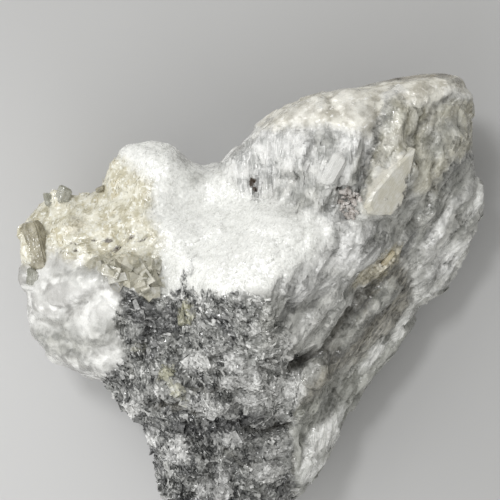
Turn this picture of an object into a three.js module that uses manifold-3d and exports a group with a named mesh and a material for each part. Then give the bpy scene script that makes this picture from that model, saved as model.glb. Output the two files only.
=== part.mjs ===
// A hand-sized broken lump of hydroboracite, a fibrous white borate, lying on its flat back.
//
// It is one natural piece. An upper slope of sugary and fibrous borate climbs to a crest, which runs from
// the left lobe to the far right corner. A hackly slope falls from the crest and narrows to a blunt stem,
// and a steep flank of laminae, which fan out from the far right corner, falls away on the right. Crystals
// with flat cleavage faces have grown together with the lump: on its left end, in a small vug, over the
// hackly slope and down the flank.
//
// Millimetres, +Z up. +X runs to the right and +Y to the far, thick edge. The origin is below the middle
// of the lump, on the plane that it rests on.
import * as THREE from "three";
import { ConvexGeometry } from "three/addons/geometries/ConvexGeometry.js";
import { ImprovedNoise } from "three/addons/math/ImprovedNoise.js";
import { mergeVertices } from "three/addons/utils/BufferGeometryUtils.js";
import Module from "manifold-3d";

const { clamp, degToRad, radToDeg, smoothstep } = THREE.MathUtils;

// ---------------------------------------------------------------------------------------------------------
// The rim: the outline that the lump shows from straight above, anticlockwise from its left tip.

const RIM = [
  [-39.8, 13.2], [-39.4, 4.6], [-38.4, 0.2], [-37.6, -5.2], [-33.4, -9.2], [-29.0, -11.2],
  [-23.8, -12.4], [-22.0, -17.0], [-18.7, -20.6], [-16.8, -25.2], [-16.0, -30.0], [-14.8, -34.4],
  [-11.4, -38.6], [-5.4, -40.8], [-0.4, -39.4], [4.0, -35.2], [6.8, -31.6], [11.2, -26.2],
  [14.6, -20.0], [18.2, -13.2], [22.4, -7.8], [26.4, -2.6], [28.2, 2.8], [31.8, 4.2],
  [37.8, 8.2], [40.2, 13.4], [39.8, 18.2], [38.6, 24.2], [37.4, 31.0], [36.6, 37.6],
  [33.0, 39.8], [24.4, 38.7], [15.6, 37.6], [8.0, 36.0], [3.6, 33.8], [0.8, 31.4],
  [-2.2, 27.6], [-5.2, 25.2], [-8.6, 23.6], [-12.2, 24.8], [-13.8, 27.2], [-17.2, 28.6],
  [-22.6, 27.2], [-24.8, 24.4], [-26.2, 20.0], [-29.6, 19.2], [-33.4, 20.0], [-37.0, 17.4],
];
// The height at which the lump is widest.
const RIM_HEIGHT = { least: 12, middle: 15, climbX: -0.07, climbY: 0.22, waver: 3, waverSize: 15 };
const WALL_LEAN = 0.24; // how far the wall draws in for each millimetre above or below the rim

// ---------------------------------------------------------------------------------------------------------
// The fracture facets: a point on each, and how far it climbs for each millimetre towards +X and +Y.

const facet = (x, y, z, climbX, climbY) => ({ x, y, z, climbX, climbY });
const LEFT_LOBE = [
  facet(-34.6, 8.3, 26, 0.5, -0.53), // yellow slope
  facet(-28.5, 0.5, 29, 0.58, 0.5), // white cheek
  facet(-38.5, 8, 21, 2.2, 0.1), // left end
  facet(-19, 5, 33, -0.6, -0.1), // where it meets the middle
];
const MIDDLE = [
  facet(-8.7, 5.2, 37, 0.22, -0.7), // sugary face
  facet(-0.8, -5.6, 36, 0.13, 0.4), // hackly face
  facet(-17, -3, 34, 0.75, 0.15), // hackly shoulder
  facet(-12, -24, 27, 1.1, 0.2), // left of the stem
  facet(-5, -33, 23.5, 0.1, 0.95), // end of the stem
  facet(6.8, 8.1, 39.4, -0.96, 0.72), // lower flank
];
const RIGHT_BLOCK = [
  facet(8, 27, 33.8, 0.2, -0.65), // cream cap
  facet(0, 19, 29.3, 0.38, 0.18), // fibrous front, towards the sugary face
  facet(15, 20, 36.5, -0.9, 0.42), // upper flank
  facet(6.8, 8.1, 39, -0.96, 0.72), // lower flank
  facet(30, 36, 29, -0.25, -0.9), // far corner
];
const UNDERSIDE = [
  facet(22, 5, 0, 0.72, -0.1),
  facet(11, -15, 0, 0.8, -0.35),
  facet(-3, -30, 0, 0.05, -0.9),
  facet(-15, -14, 0, -0.85, -0.5),
  facet(-27, 5, 0, -0.85, 0.1),
  facet(-16, 18, 0, -0.2, 0.85),
  facet(8, 27, 0, 0.12, 0.7),
  facet(27, 27, 0, 0.6, 0.55),
];
// Chips off the walls: the middle of each, and which way it faces, as a bearing from +X and a slope down
// from level.
const chip = (x, y, z, bearing, slope) => ({
  middle: new THREE.Vector3(x, y, z),
  out: new THREE.Vector3(1, 0, 0).applyEuler(new THREE.Euler(0, degToRad(slope), degToRad(bearing), "ZYX")),
});
const CHIPS = [
  chip(-38.5, 2, 11, 196, 38),
  chip(-32, -10, 13, 238, 22),
  chip(-20, -19, 10, 212, 48),
  chip(-15, -34, 9, 206, 18),
  chip(2, -36.5, 10, -48, 40),
  chip(16.6, -16, 10, -30, 24),
  chip(28, 1, 9, -42, 46),
  chip(39, 10, 12, -30, 20),
  chip(38.5, 26, 10, 8, 42),
  chip(29, 39, 17, 82, 26),
  chip(9, 36, 14, 112, 38),
  chip(-19, 28, 15, 92, 44),
  chip(-33, 20, 15, 118, 30),
];
const CHIP_SPREAD = 36; // a larger spread makes the chips flatter and wider
const CHIP_REACH = 20; // how far from its middle a chip can cut
const FACET_EDGE = 0.8; // how far a worn edge between two facets is rounded
const HOLLOW_FILL = 1.4; // how far the hollow between two blocks is filled
const BACK_SINK = 0.1; // how far the flat back dips below the resting plane, which cuts its high spots flat
const TOP_SCALE = 0.75; // how far a point is from the upper facets for each millimetre above them
const BACK_SCALE = 0.8; // how far a point is from the underside for each millimetre below it

// ---------------------------------------------------------------------------------------------------------
// The forms of the upper side, each placed by its middle and by the turn of its length from +X.

// A swelling, or a hollow where rise is negative.
const swell = (x, y, length, width, turn, rise) => ({ x, y, length, width, turn: degToRad(turn), rise });
const SWELLS = [
  swell(-17.5, 23.5, 6, 4, 10, 1.6), // white knob at the top of the left lobe
  swell(-8, 18, 7, 2.4, 75, -1.1), // valley below the saddle
  swell(-13, 13, 5, 3, 60, 0.8),
  swell(-31, 12.5, 5.5, 4, 15, 1.3), // granular yellow hump
  swell(-23.5, 10.6, 5, 2.4, -25, -1.3), // hollow with dark pores
  swell(-26.5, 16.5, 3.5, 2, 80, -1),
  swell(-19.2, 5, 3.6, 2.6, -50, 1.2), // olive crystals at the edge of the hackly face
  swell(-27.5, -4.5, 5, 4.4, 30, 1.6), // white cheek, three soft swellings
  swell(-35, 1.5, 3.4, 2.6, 60, 1.4),
  swell(-34, -5.8, 2.8, 2, -20, 1.2),
  swell(1.5, 12.5, 9, 5, 35, 1.3), // middle of the sugary face
  swell(-8.5, -4.5, 7, 4, 80, -1.2), // hackly face, hollows and humps
  swell(1.5, -6.5, 5, 3, 60, 1.6),
  swell(-12.5, -13, 4, 3, 20, 1.6),
  swell(-6, -14.5, 4, 2.2, -60, 1.2),
  swell(4.5, -17.4, 5, 1.7, 42, -2.1), // dark clefts across the stem
  swell(1.8, -22.1, 6, 1.6, 2, -1.9),
  swell(-10, -19, 5, 1.8, 15, -1.4),
  swell(-11, -26.5, 3.6, 3.2, 0, 1.6),
  swell(-2, -28, 4, 3, 30, 1.3),
  swell(8.5, 22.5, 5.5, 3, 80, 1), // bundle of upright fibres
  swell(0.8, 19.8, 2.6, 1.5, 80, -1.4), // dark pits beside it
  swell(5.4, 21, 2, 1.3, 60, -1.4),
  swell(14.6, 17.6, 2.8, 2.3, 70, -3), // vug
  swell(16, 31.6, 7, 3, 5, 1.4), // cream cap
  swell(18.7, 26, 8, 1.7, 70, -3), // dark groove between cap and flank
  swell(21.6, 21, 6.6, 2.1, 53, 2.2), // cream tongue
  swell(24.8, 19.4, 7, 1.5, 58, -1.6),
  swell(28.5, 29, 6, 2, 48, 1.4),
  swell(33, 21.8, 4.6, 1.7, 44, -1.8), // dark hollow near the right edge
  swell(34.5, 16.5, 5, 2.4, 60, 1.4),
  swell(14, 6.5, 8, 2, 52, 1.5), // folds down the flank
  swell(8.5, 0.5, 7, 1.7, 48, -1.5),
  swell(17.6, 4.4, 9, 1.8, 56, -1.7),
  swell(22, 4.2, 8, 1.9, 58, 1.4),
  swell(7.8, -8, 5, 1.7, 30, -2.3), // dark cleft at the corner of the flank
  swell(9.5, -12.4, 5.5, 2.4, 58, 1.9),
  swell(15, -11, 8, 1.7, 62, -1.3),
];

// Bulges and hollows of the walls, below the upper side.
const WALL_SWELLS = [
  swell(-8.6, 21, 9, 8, 0, 4.2), // below the saddle
  swell(-28, -11, 6, 5, 60, 1.6),
  swell(-17, -24, 5, 6, 0, -1.6),
  swell(19, -12, 7, 5, 50, 1.4),
  swell(31, 3, 6, 5, 20, 1.8),
  swell(18, 38, 8, 6, 0, -1.6),
  swell(38, 20, 5, 7, 0, -1.5),
  swell(-38, 8, 5, 6, 0, -1.4),
];

// A swelling is flatter on top and steeper at its sides where the power is higher, and has faded out at
// the end.
const SWELL_POWER = 1.3;
const SWELL_END = 2;

// A ledge: the ground to the right of it, seen along its turn, drops and climbs back over a short run. Bow
// bends it.
const ledge = (x, y, length, turn, bow, drop, run) => {
  return { x, y, length, turn: degToRad(turn), bow, drop, run };
};
const LEDGES = [
  ledge(7.5, 27.2, 8.5, 8, 2.2, 1.2, 3.5), // curved crack below the cream cap
  ledge(29, 30, 9, 52, -1.6, 2.2, 4), // seam from the far corner down the flank
  ledge(31, 21.5, 11, 58, 0, 1.7, 3.4),
  ledge(28, 5.5, 12, 57, 0.8, 1.7, 3.4),
  ledge(21, 7, 12, 52, 0.6, 2, 3.6),
  ledge(9.7, 5, 9.5, 43, 0.8, 1.7, 3.4),
  ledge(11.4, -14.5, 11, 70, 1, 1.8, 3),
  ledge(-21.4, -4, 9, 88, 1, 2, 3.8), // white cheek above the hackly slope
  ledge(-30.4, -1.2, 4.5, 38, 1, 1.4, 2.6), // creases across the cheek
  ledge(-34, -4, 5.5, -18, -0.6, 1.4, 2.6),
  ledge(-14, 3.8, 9, 178, 0.8, 1, 3), // edge of the sugary face
];

const LEDGE_LIP = { from: -0.4, to: 0.8 }; // where the drop starts and ends, across the ledge

// The laminae of the flank spread from the far right corner. Their waves are as long along the fan as
// length, and as deep as depth.
const FAN = {
  x: 46.5,
  y: 45.5,
  reach: 45,
  spacing: 5.4,
  height: 0.75,
  length: 22,
  depth: 40,
  waver: 0.08,
  waverSize: 18,
};

// The waves of the broken faces: how far they stand out and how long they are.
const BROAD_WAVES = { height: 0.8, size: 13 };
const SMALL_WAVES = { height: 0.3, size: 4.5 };
const WALL_WAVES = { height: 1.2, size: 9 };
const HACKLES = { height: 1.2, size: 5.5, sink: 0.5 };
const OVERTONE = { finer: 2.1, share: 0.5 }; // the second, finer layer of every wave

// A border of a kind of ground, which fades in between two limits along a direction.
const border = (alongX, alongY, from, to) => ({ alongX, alongY, from, to });
const FLANK = [border(0.8, -0.25, 4, 10)];
const HACKLY_SLOPE = [border(-0.35, -1, -4, 2), border(-1, 0, -9, -4), border(1, 0, -24, -20)];
const UPPER_SIDE = { from: 9, to: 15 }; // the heights over which the walls pass into the upper side

// ---------------------------------------------------------------------------------------------------------
// The surface: a field that is negative inside the lump and positive outside, in roughly millimetres.

const noiseSource = new ImprovedNoise();
const NOISE_SHIFT = 11.37; // moves the noise off its grid points
const noise = (x, y, z) => noiseSource.noise(x + NOISE_SHIFT, y + NOISE_SHIFT, z + NOISE_SHIFT);
function cloud({ x, y, z }, size) {
  const finer = size / OVERTONE.finer;
  return noise(x / size, y / size, z / size) + OVERTONE.share * noise(x / finer, y / finer, z / finer);
}
const waves = (p, { height, size }) => height * cloud(p, size);
const crests = (value) => 1 - 2 * Math.abs(value);
const shareOf = (borders, x, y) =>
  borders.reduce((share, b) => share * smoothstep(b.alongX * x + b.alongY * y, b.from, b.to), 1);

// The lower of two heights with its corner rounded over an edge, or the higher where the edge is negative.
function blend(a, b, edge) {
  const share = clamp(0.5 + (b - a) / (2 * edge), 0, 1);
  return b + (a - b) * share - edge * share * (1 - share);
}

function blockHeight(facets, x, y, edge) {
  let height;
  for (const f of facets) {
    const plane = f.z + f.climbX * (x - f.x) + f.climbY * (y - f.y);
    height = height === undefined ? plane : blend(height, plane, edge);
  }
  return height;
}

// How far (x, y) lies outside the rim; negative inside it.
function outsideRim(x, y) {
  let nearest = Infinity;
  let inside = false;
  let [ax, ay] = RIM.at(-1);
  for (const [bx, by] of RIM) {
    const dx = bx - ax;
    const dy = by - ay;
    const share = clamp(((x - ax) * dx + (y - ay) * dy) / (dx * dx + dy * dy), 0, 1);
    nearest = Math.min(nearest, Math.hypot(x - ax - share * dx, y - ay - share * dy));
    if (ay > y !== by > y && x < (dx * (y - ay)) / dy + ax) inside = !inside;
    [ax, ay] = [bx, by];
  }
  return inside ? -nearest : nearest;
}

// Where (x, y) lies from a form: along it as a share of its half length, and across it in millimetres.
function within(form, x, y) {
  const along = (x - form.x) * Math.cos(form.turn) + (y - form.y) * Math.sin(form.turn);
  const across = (y - form.y) * Math.cos(form.turn) - (x - form.x) * Math.sin(form.turn);
  return [along / form.length, across];
}

function swellHeight(form, x, y) {
  const [along, across] = within(form, x, y);
  const far = along ** 2 + (across / form.width) ** 2;
  return far > SWELL_END ** 2 ? 0 : form.rise * Math.exp(-Math.pow(far, SWELL_POWER));
}

function ledgeHeight(form, x, y) {
  const [along, across] = within(form, x, y);
  if (Math.abs(along) >= 1) return 0;
  const below = form.bow * (1 - along * along) - across;
  const fade = 1 - along ** 4;
  const lip = smoothstep(below, LEDGE_LIP.from, LEDGE_LIP.to);
  return -form.drop * fade * lip * Math.exp(-Math.max(below, 0) / form.run);
}

function laminaHeight({ x, y, z }) {
  const waver = FAN.waver * noise(x / FAN.waverSize, y / FAN.waverSize, z / FAN.waverSize);
  const across = (Math.atan2(y - FAN.y, x - FAN.x) + waver) * FAN.reach;
  const along = Math.hypot(x - FAN.x, y - FAN.y);
  return FAN.height * crests(noise(across / FAN.spacing, along / FAN.length, z / FAN.depth));
}

// How far the surface stands out from its facets.
function relief(p) {
  const upper = smoothstep(p.z, UPPER_SIDE.from, UPPER_SIDE.to);
  let height = waves(p, BROAD_WAVES) + waves(p, SMALL_WAVES);
  if (upper < 1) {
    let lower = WALL_WAVES.height * crests(cloud(p, WALL_WAVES.size));
    for (const form of WALL_SWELLS) lower += swellHeight(form, p.x, p.y);
    height += (1 - upper) * lower;
  }
  if (upper === 0) return height;
  const flank = shareOf(FLANK, p.x, p.y);
  const hackly = shareOf(HACKLY_SLOPE, p.x, p.y);
  let forms = 0;
  for (const form of SWELLS) forms += swellHeight(form, p.x, p.y);
  for (const form of LEDGES) forms += ledgeHeight(form, p.x, p.y);
  if (flank > 0) forms += flank * laminaHeight(p);
  if (hackly > 0) forms += hackly * (HACKLES.height * crests(cloud(p, HACKLES.size)) - HACKLES.sink);
  return height + upper * forms;
}

function field(p) {
  const { x, y, z } = p;
  const left = blockHeight(LEFT_LOBE, x, y, FACET_EDGE);
  const middle = blockHeight(MIDDLE, x, y, FACET_EDGE);
  const right = blockHeight(RIGHT_BLOCK, x, y, FACET_EDGE);
  const top = blend(blend(left, middle, -HOLLOW_FILL), right, -HOLLOW_FILL);
  const bottom = Math.max(blockHeight(UNDERSIDE, x, y, -FACET_EDGE), -BACK_SINK);
  const { least, climbX, climbY, waver, waverSize } = RIM_HEIGHT;
  const rimWaver = waver * noise(x / waverSize, y / waverSize, 0);
  const rimHeight = Math.max(RIM_HEIGHT.middle + climbX * x + climbY * y + rimWaver, least);
  const wall = outsideRim(x, y) + WALL_LEAN * Math.abs(z - rimHeight);
  const belowTheTop = blend(wall, TOP_SCALE * (z - top), -FACET_EDGE);
  let body = blend(belowTheTop, BACK_SCALE * (bottom - z), -FACET_EDGE);
  for (const { middle, out } of CHIPS) {
    const away = p.distanceToSquared(middle);
    if (away > CHIP_REACH ** 2) continue;
    body = blend(body, out.dot(p) - out.dot(middle) - away / CHIP_SPREAD, -FACET_EDGE);
  }
  return body - relief(p);
}

// The way out of the lump at a point, times how fast the field climbs there.
function fieldSlope(p) {
  const reach = 0.2;
  const here = field(p);
  const climb = (dx, dy, dz) => (field(new THREE.Vector3(p.x + dx, p.y + dy, p.z + dz)) - here) / reach;
  return new THREE.Vector3(climb(reach, 0, 0), climb(0, reach, 0), climb(0, 0, reach));
}

// ---------------------------------------------------------------------------------------------------------
// The skin: a ball of even triangles that is drawn onto the surface.

const SKIN_DETAIL = 16; // an edge of the starting icosahedron is cut into one more piece than this
const SKIN_START = new THREE.Vector3(82, 82, 42); // half sizes of the ball, which holds all of the lump
const SKIN_ROUNDS = 26; // how often the skin is evened out and drawn back
const SKIN_EVENING = 0.6; // how much of the way to the middle of its neighbours a point goes in a round
const CREASE_FILL = 0.5; // the same for the points in the creases, but not on the ridges, once at the end
const HEART = new THREE.Vector3(-2, 2, 18); // a point deep inside, from which the surface is found
const HALVINGS = 18; // how often the way from inside to outside is halved to find the surface
const LONGEST_STEP = 1;
const LEAST_CLIMB = 0.4; // keeps the steps short where the field is nearly level
const WELD = 1e-4; // points that are closer than this are one point

function drawOntoSurface(p) {
  const slope = fieldSlope(p);
  const step = clamp(field(p) / Math.max(slope.lengthSq(), LEAST_CLIMB), -LONGEST_STEP, LONGEST_STEP);
  p.addScaledVector(slope, -step);
}

// The surface point between one that is inside and one that is outside.
function crossing(inside, outside) {
  const near = inside.clone();
  const far = outside.clone();
  for (let i = 0; i < HALVINGS; i++) {
    const middle = near.clone().lerp(far, 0.5);
    (field(middle) < 0 ? near : far).copy(middle);
  }
  return near;
}

function skinGeometry() {
  const ball = new THREE.IcosahedronGeometry(1, SKIN_DETAIL);
  ball.deleteAttribute("normal");
  ball.deleteAttribute("uv");
  const skin = mergeVertices(ball, WELD);
  const place = skin.getAttribute("position");
  const points = Array.from({ length: place.count }, (_, i) => {
    const outward = new THREE.Vector3().fromBufferAttribute(place, i).multiply(SKIN_START);
    return crossing(HEART, outward.add(HEART));
  });
  const neighbours = points.map(() => new Set());
  for (let i = 0; i < skin.index.count; i += 3) {
    const corners = [skin.index.getX(i), skin.index.getX(i + 1), skin.index.getX(i + 2)];
    for (const a of corners) {
      for (const b of corners) {
        if (a !== b) neighbours[a].add(b);
      }
    }
  }
  const movesToNeighbours = () =>
    neighbours.map((near, i) => {
      const sum = new THREE.Vector3();
      for (const n of near) sum.add(points[n]);
      return sum.divideScalar(near.size).sub(points[i]);
    });
  for (let round = 0; round < SKIN_ROUNDS; round++) {
    movesToNeighbours().forEach((move, i) => {
      const alongTheSurface = move.projectOnPlane(fieldSlope(points[i]).normalize());
      drawOntoSurface(points[i].addScaledVector(alongTheSurface, SKIN_EVENING));
    });
  }
  points.forEach(drawOntoSurface);
  movesToNeighbours().forEach((move, i) => {
    if (move.dot(fieldSlope(points[i])) > 0) points[i].addScaledVector(move, CREASE_FILL);
  });
  points.forEach((p, i) => place.setXYZ(i, p.x, p.y, p.z));
  return skin;
}

// ---------------------------------------------------------------------------------------------------------
// Crystals. Each is seated on the skin and sunk into it.

// A cleavage block: a slanted box.
const BLOCK_SLANT = 0.3;

function blockGeometry(length, width, thickness) {
  const corners = [];
  for (const x of [-1, 1]) {
    for (const y of [-1, 1]) {
      for (const z of [-1, 1]) {
        const slanted = x * length + BLOCK_SLANT * y * width;
        corners.push(new THREE.Vector3(slanted / 2, (y * width) / 2, (z * thickness) / 2));
      }
    }
  }
  return new ConvexGeometry(corners);
}

// A blade: a long flat prism with pointed ends. The tip is given in shares of its width and half
// thickness.
const BLADE_TIP = { length: 0.45, aside: 0.1, thickness: 0.4 };

function bladeGeometry(length, width, thickness) {
  const shoulder = length / 2 - BLADE_TIP.length * width;
  const corners = [];
  for (const end of [-1, 1]) {
    for (const side of [-1, 1]) {
      const z = (side * thickness) / 2;
      corners.push(new THREE.Vector3((end * length) / 2, BLADE_TIP.aside * width, BLADE_TIP.thickness * z));
      for (const y of [-1, 1]) corners.push(new THREE.Vector3(end * shoulder, (y * width) / 2, z));
    }
  }
  return new ConvexGeometry(corners);
}

// The heights between which the ground below a crystal is found, and the steepest ground it can be laid
// along, as the upright share of the ground's normal.
const GROUND = { lowest: 14, highest: 55, steepest: 0.3 };

// Lays a crystal on the ground below (x, y), its length along a heading. Rise lifts its far end, and roll
// turns it about its length. Lift is how far its middle stands out from the ground.
function seat(geometry, x, y, { heading = 0, rise = 0, roll = 0, lift = 0 }) {
  const ground = crossing(new THREE.Vector3(x, y, GROUND.lowest), new THREE.Vector3(x, y, GROUND.highest));
  const out = fieldSlope(ground).normalize();
  const turn = degToRad(heading);
  const along = new THREE.Vector3(Math.cos(turn), Math.sin(turn), 0);
  along.setZ(-along.dot(out) / Math.max(out.z, GROUND.steepest)).projectOnPlane(out).normalize();
  const basis = new THREE.Matrix4().makeBasis(along, out.clone().cross(along), out);
  const turns = new THREE.Euler(degToRad(roll), -degToRad(rise), 0);
  const tilt = new THREE.Matrix4().makeRotationFromEuler(turns);
  return geometry.applyMatrix4(basis.multiply(tilt).setPosition(ground.addScaledVector(out, lift)));
}

// A repeatable run of numbers between 0 and 1.
const CHANCE = { factor: 1664525, shift: 1013904223, range: 2 ** 32 };

function chancesFrom(seed) {
  let state = seed;
  return () => {
    state = (CHANCE.factor * state + CHANCE.shift) % CHANCE.range;
    return state / CHANCE.range;
  };
}

// Crystals scattered over an oval of ground, given by its middle and half sizes. Sizes are the least and
// greatest length, width and thickness. Spread is how far a heading strays from the grain, which is an
// angle or the fan's.
const LIFT_SPREAD = 0.2; // how far the depths of the crystals of a grove differ
const GROVES = {
  flakesBelowTheCrest: {
    at: [-9, -7, 9, 7],
    count: 15,
    sizes: [[2.4, 4.6], [1.6, 2.8], [1.2, 2]],
    lay: { spread: 180, rise: 30, sink: 0.3 },
  },
  flakesAboveTheStem: {
    at: [-5, -20, 10, 7],
    count: 17,
    sizes: [[2.6, 5], [1.8, 3], [1.3, 2.2]],
    lay: { spread: 180, rise: 30, sink: 0.3 },
  },
  flakesOnTheStem: {
    at: [-5, -33, 8, 4],
    count: 7,
    sizes: [[3, 5.4], [2, 3.2], [1.4, 2.4]],
    lay: { spread: 180, rise: 24, sink: 0.4 },
  },
  podsOfTheUpperFlank: {
    at: [25, 14, 9, 12],
    count: 12,
    sizes: [[7, 12], [2.2, 3.6], [2, 3]],
    lay: { grain: "fan", spread: 6, rise: 5, sink: 0.6 },
  },
  podsOfTheLowerFlank: {
    at: [12, -9, 5, 11],
    count: 8,
    sizes: [[5, 9], [2, 3.2], [1.8, 2.6]],
    lay: { grain: "fan", spread: 6, rise: 6, sink: 0.5 },
  },
  uprightFibres: {
    at: [8.5, 21, 5, 4.5],
    count: 6,
    sizes: [[4.5, 8], [1.2, 2], [1.3, 1.8]],
    lay: { grain: 80, spread: 6, rise: 6, sink: 0.4 },
  },
  vugGrains: {
    at: [14.8, 17.2, 1.8, 1.8],
    count: 5,
    sizes: [[1.4, 2.2], [1.1, 1.7], [1.1, 1.7]],
    lay: { spread: 180, rise: 40, sink: 0.1 },
  },
  oliveBlocks: {
    at: [-19.2, 5.4, 2.4, 3.2],
    count: 6,
    sizes: [[2, 3.2], [1.7, 2.6], [1.4, 2.2]],
    lay: { spread: 180, rise: 30, sink: 0.3 },
  },
  yellowBlocks: {
    at: [-30.5, 13, 6.5, 4],
    count: 6,
    sizes: [[2.2, 3.6], [1.8, 2.8], [1.4, 2.2]],
    lay: { spread: 180, rise: 22, sink: 0.5 },
  },
};

function groveCrystals({ at: [x, y, length, width], count, sizes, lay }, seed) {
  const { grain = 0, spread, rise, sink } = lay;
  const chance = chancesFrom(seed);
  const between = ([least, greatest]) => least + (greatest - least) * chance();
  const either = (most) => between([-most, most]);
  return Array.from({ length: count }, () => {
    const far = Math.sqrt(chance());
    const round = 2 * Math.PI * chance();
    const px = x + length * far * Math.cos(round);
    const py = y + width * far * Math.sin(round);
    const fan = radToDeg(Math.atan2(FAN.y - py, FAN.x - px));
    const heading = (grain === "fan" ? fan : grain) + either(spread);
    const shape = grain === "fan" ? bladeGeometry : blockGeometry;
    const turns = { heading, rise: either(rise), roll: either(rise), lift: either(LIFT_SPREAD) - sink };
    return seat(shape(...sizes.map(between)), px, py, turns);
  });
}

const LONE_CRYSTALS = [
  // On the left lobe: a brown-grey blade, a green block with a pale band below it, a clear crystal, and an
  // olive one in the notch.
  seat(bladeGeometry(8.4, 2.9, 2.4), -37.4, 11.4, { heading: -80, rise: 4, roll: -25, lift: 0.2 }),
  seat(blockGeometry(3, 2.8, 2.4), -37.6, 5.9, { heading: 80, roll: -20, lift: 0.5 }),
  seat(blockGeometry(3.2, 1, 1.4), -37.4, 3.9, { heading: -10, roll: 12, lift: 0.5 }),
  seat(bladeGeometry(4.6, 2.2, 1.8), -32.8, 18.6, { heading: 12, rise: -6, lift: 0.7 }),
  seat(blockGeometry(2.6, 1.4, 1.4), -25.6, 18.9, { heading: 8, lift: 0.4 }),
  // Tan blocks at the foot of the lobe.
  seat(blockGeometry(2.8, 2, 1.6), -20.6, 8.4, { heading: 62, rise: 14, lift: 0.4 }),
  seat(blockGeometry(2.4, 2.2, 1.6), -22.8, 6.4, { heading: 20, rise: -12, lift: 0.4 }),
  // A clear finger beside the vug.
  seat(bladeGeometry(8.4, 2.2, 2), 12.4, 22.9, { heading: 56, rise: 2, lift: 0.3 }),
  // Golden crystals on the flank.
  seat(blockGeometry(3.8, 1.6, 1.6), 20.9, 7.9, { heading: 48, rise: 6, lift: 0.2 }),
  seat(blockGeometry(3.2, 1.4, 1.5), 18.2, 5, { heading: 44, rise: -6, lift: 0.2 }),
  // Clear blocks on the stem.
  seat(blockGeometry(3.4, 2.6, 2.2), -10.4, -24.4, { heading: 30, rise: 18, lift: 0.6 }),
  seat(blockGeometry(2.8, 2.4, 2), -7, -29.4, { heading: -40, rise: -16, lift: 0.6 }),
];

// ---------------------------------------------------------------------------------------------------------
// The lump: the skin joined with its crystals, and cut flat where it rests.

const ROOM = { width: 120, height: 80 }; // a box above the resting plane that holds all of the lump

const wasm = await Module();
wasm.setup();

function solidFrom(geometry) {
  geometry.deleteAttribute("normal");
  geometry.deleteAttribute("uv");
  const merged = mergeVertices(geometry, WELD);
  const vertProperties = new Float32Array(merged.getAttribute("position").array);
  const triVerts = new Uint32Array(merged.index.array);
  return new wasm.Manifold(new wasm.Mesh({ numProp: 3, vertProperties, triVerts }));
}

function geometryFrom(solid) {
  const { vertProperties, triVerts } = solid.getMesh();
  const geometry = new THREE.BufferGeometry();
  geometry.setAttribute("position", new THREE.BufferAttribute(vertProperties, 3));
  geometry.setIndex(new THREE.BufferAttribute(triVerts, 1));
  geometry.computeVertexNormals();
  return geometry;
}

const crystals = [...LONE_CRYSTALS, ...Object.values(GROVES).flatMap(groveCrystals)];
const joined = crystals.reduce((lump, crystal) => lump.add(solidFrom(crystal)), solidFrom(skinGeometry()));
// Crystals that lean on each other can seal a speck of space between them. Only the outer surface is kept.
const filled = joined.decompose().find((body) => body.volume() > 0);
const room = new THREE.BoxGeometry(ROOM.width, ROOM.width, ROOM.height).translate(0, 0, ROOM.height / 2);

const borate = new THREE.MeshStandardMaterial({ color: 0xd9d8d2, roughness: 0.6, metalness: 0 });
const lump = new THREE.Mesh(geometryFrom(filled.intersect(solidFrom(room))), borate);
lump.name = "hydroboracite_lump";

const group = new THREE.Group();
group.add(lump);
export default group;
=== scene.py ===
import itertools
import math

import bpy
import numpy as np
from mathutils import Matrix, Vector
from mathutils.bvhtree import BVHTree


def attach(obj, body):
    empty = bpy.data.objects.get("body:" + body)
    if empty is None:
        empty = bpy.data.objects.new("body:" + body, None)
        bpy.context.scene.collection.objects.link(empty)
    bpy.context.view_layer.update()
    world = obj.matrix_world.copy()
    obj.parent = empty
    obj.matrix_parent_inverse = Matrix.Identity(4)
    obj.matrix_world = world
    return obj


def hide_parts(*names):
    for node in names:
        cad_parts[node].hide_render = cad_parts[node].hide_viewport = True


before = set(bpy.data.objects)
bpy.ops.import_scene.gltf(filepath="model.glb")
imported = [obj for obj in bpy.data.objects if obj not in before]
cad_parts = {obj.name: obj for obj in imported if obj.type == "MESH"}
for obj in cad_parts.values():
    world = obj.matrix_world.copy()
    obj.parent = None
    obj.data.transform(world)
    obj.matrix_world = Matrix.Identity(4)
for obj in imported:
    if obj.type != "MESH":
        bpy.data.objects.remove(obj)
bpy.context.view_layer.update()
scene = bpy.context.scene
scene.view_settings.view_transform = "Standard"

# ------------------------------------------------------------------------------------------
# The table and the light.
# A pale table top in an even pale room; its colour has painted light that makes it paler
# towards the near left. Soft window light comes from the upper left, a small bright gap in the
# window makes the glints, and a pale wall lights the near side.

TABLE_WIDTH = 4  # in metres, as all sizes in this section
LIT_SPOT = Vector((0, 0, 0.02))  # what the lamps face: the middle of the lump
CAMERA_SPOT = (-0.00077, 0.0103, 0.314)  # straight above the lump, looking down
CAMERA_LENS = 125.6  # in millimetres


def plug_in(tree, node, plugs):
    """Sets a node's inputs, to values or to the sockets of other nodes."""
    for key, value in dict(plugs).items():
        if isinstance(value, bpy.types.NodeSocket):
            tree.links.new(value, node.inputs[key])
        else:
            node.inputs[key].default_value = value


def add(tree, kind, plugs=(), **settings):
    made = tree.nodes.new("ShaderNode" + kind)
    for key, value in settings.items():
        setattr(made, key, value)
    plug_in(tree, made, plugs)
    return made


def calc(tree, operation, *values):
    return add(tree, "Math", enumerate(values), operation=operation).outputs[0]


def cloud(tree, vector, size, detail=3.0, roughness=0.55, twist=0.0):
    """Noise from 0 to 1, with waves of that size in metres, or in the units of the vector."""
    plugs = {"Vector": vector, "Scale": 1 / size, "Detail": detail, "Roughness": roughness}
    plugs["Distortion"] = twist
    return add(tree, "TexNoise", plugs).outputs[0]


def rise(tree, value, low, high):
    """0 below low, 1 above high, and smooth between them."""
    plugs = {"Value": value, "From Min": low, "From Max": high}
    return add(tree, "MapRange", plugs, interpolation_type="SMOOTHSTEP").outputs[0]


def mix(tree, share, first, second):
    return add(tree, "Mix", {0: share, 6: first, 7: second}, data_type="RGBA").outputs[2]


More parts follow.
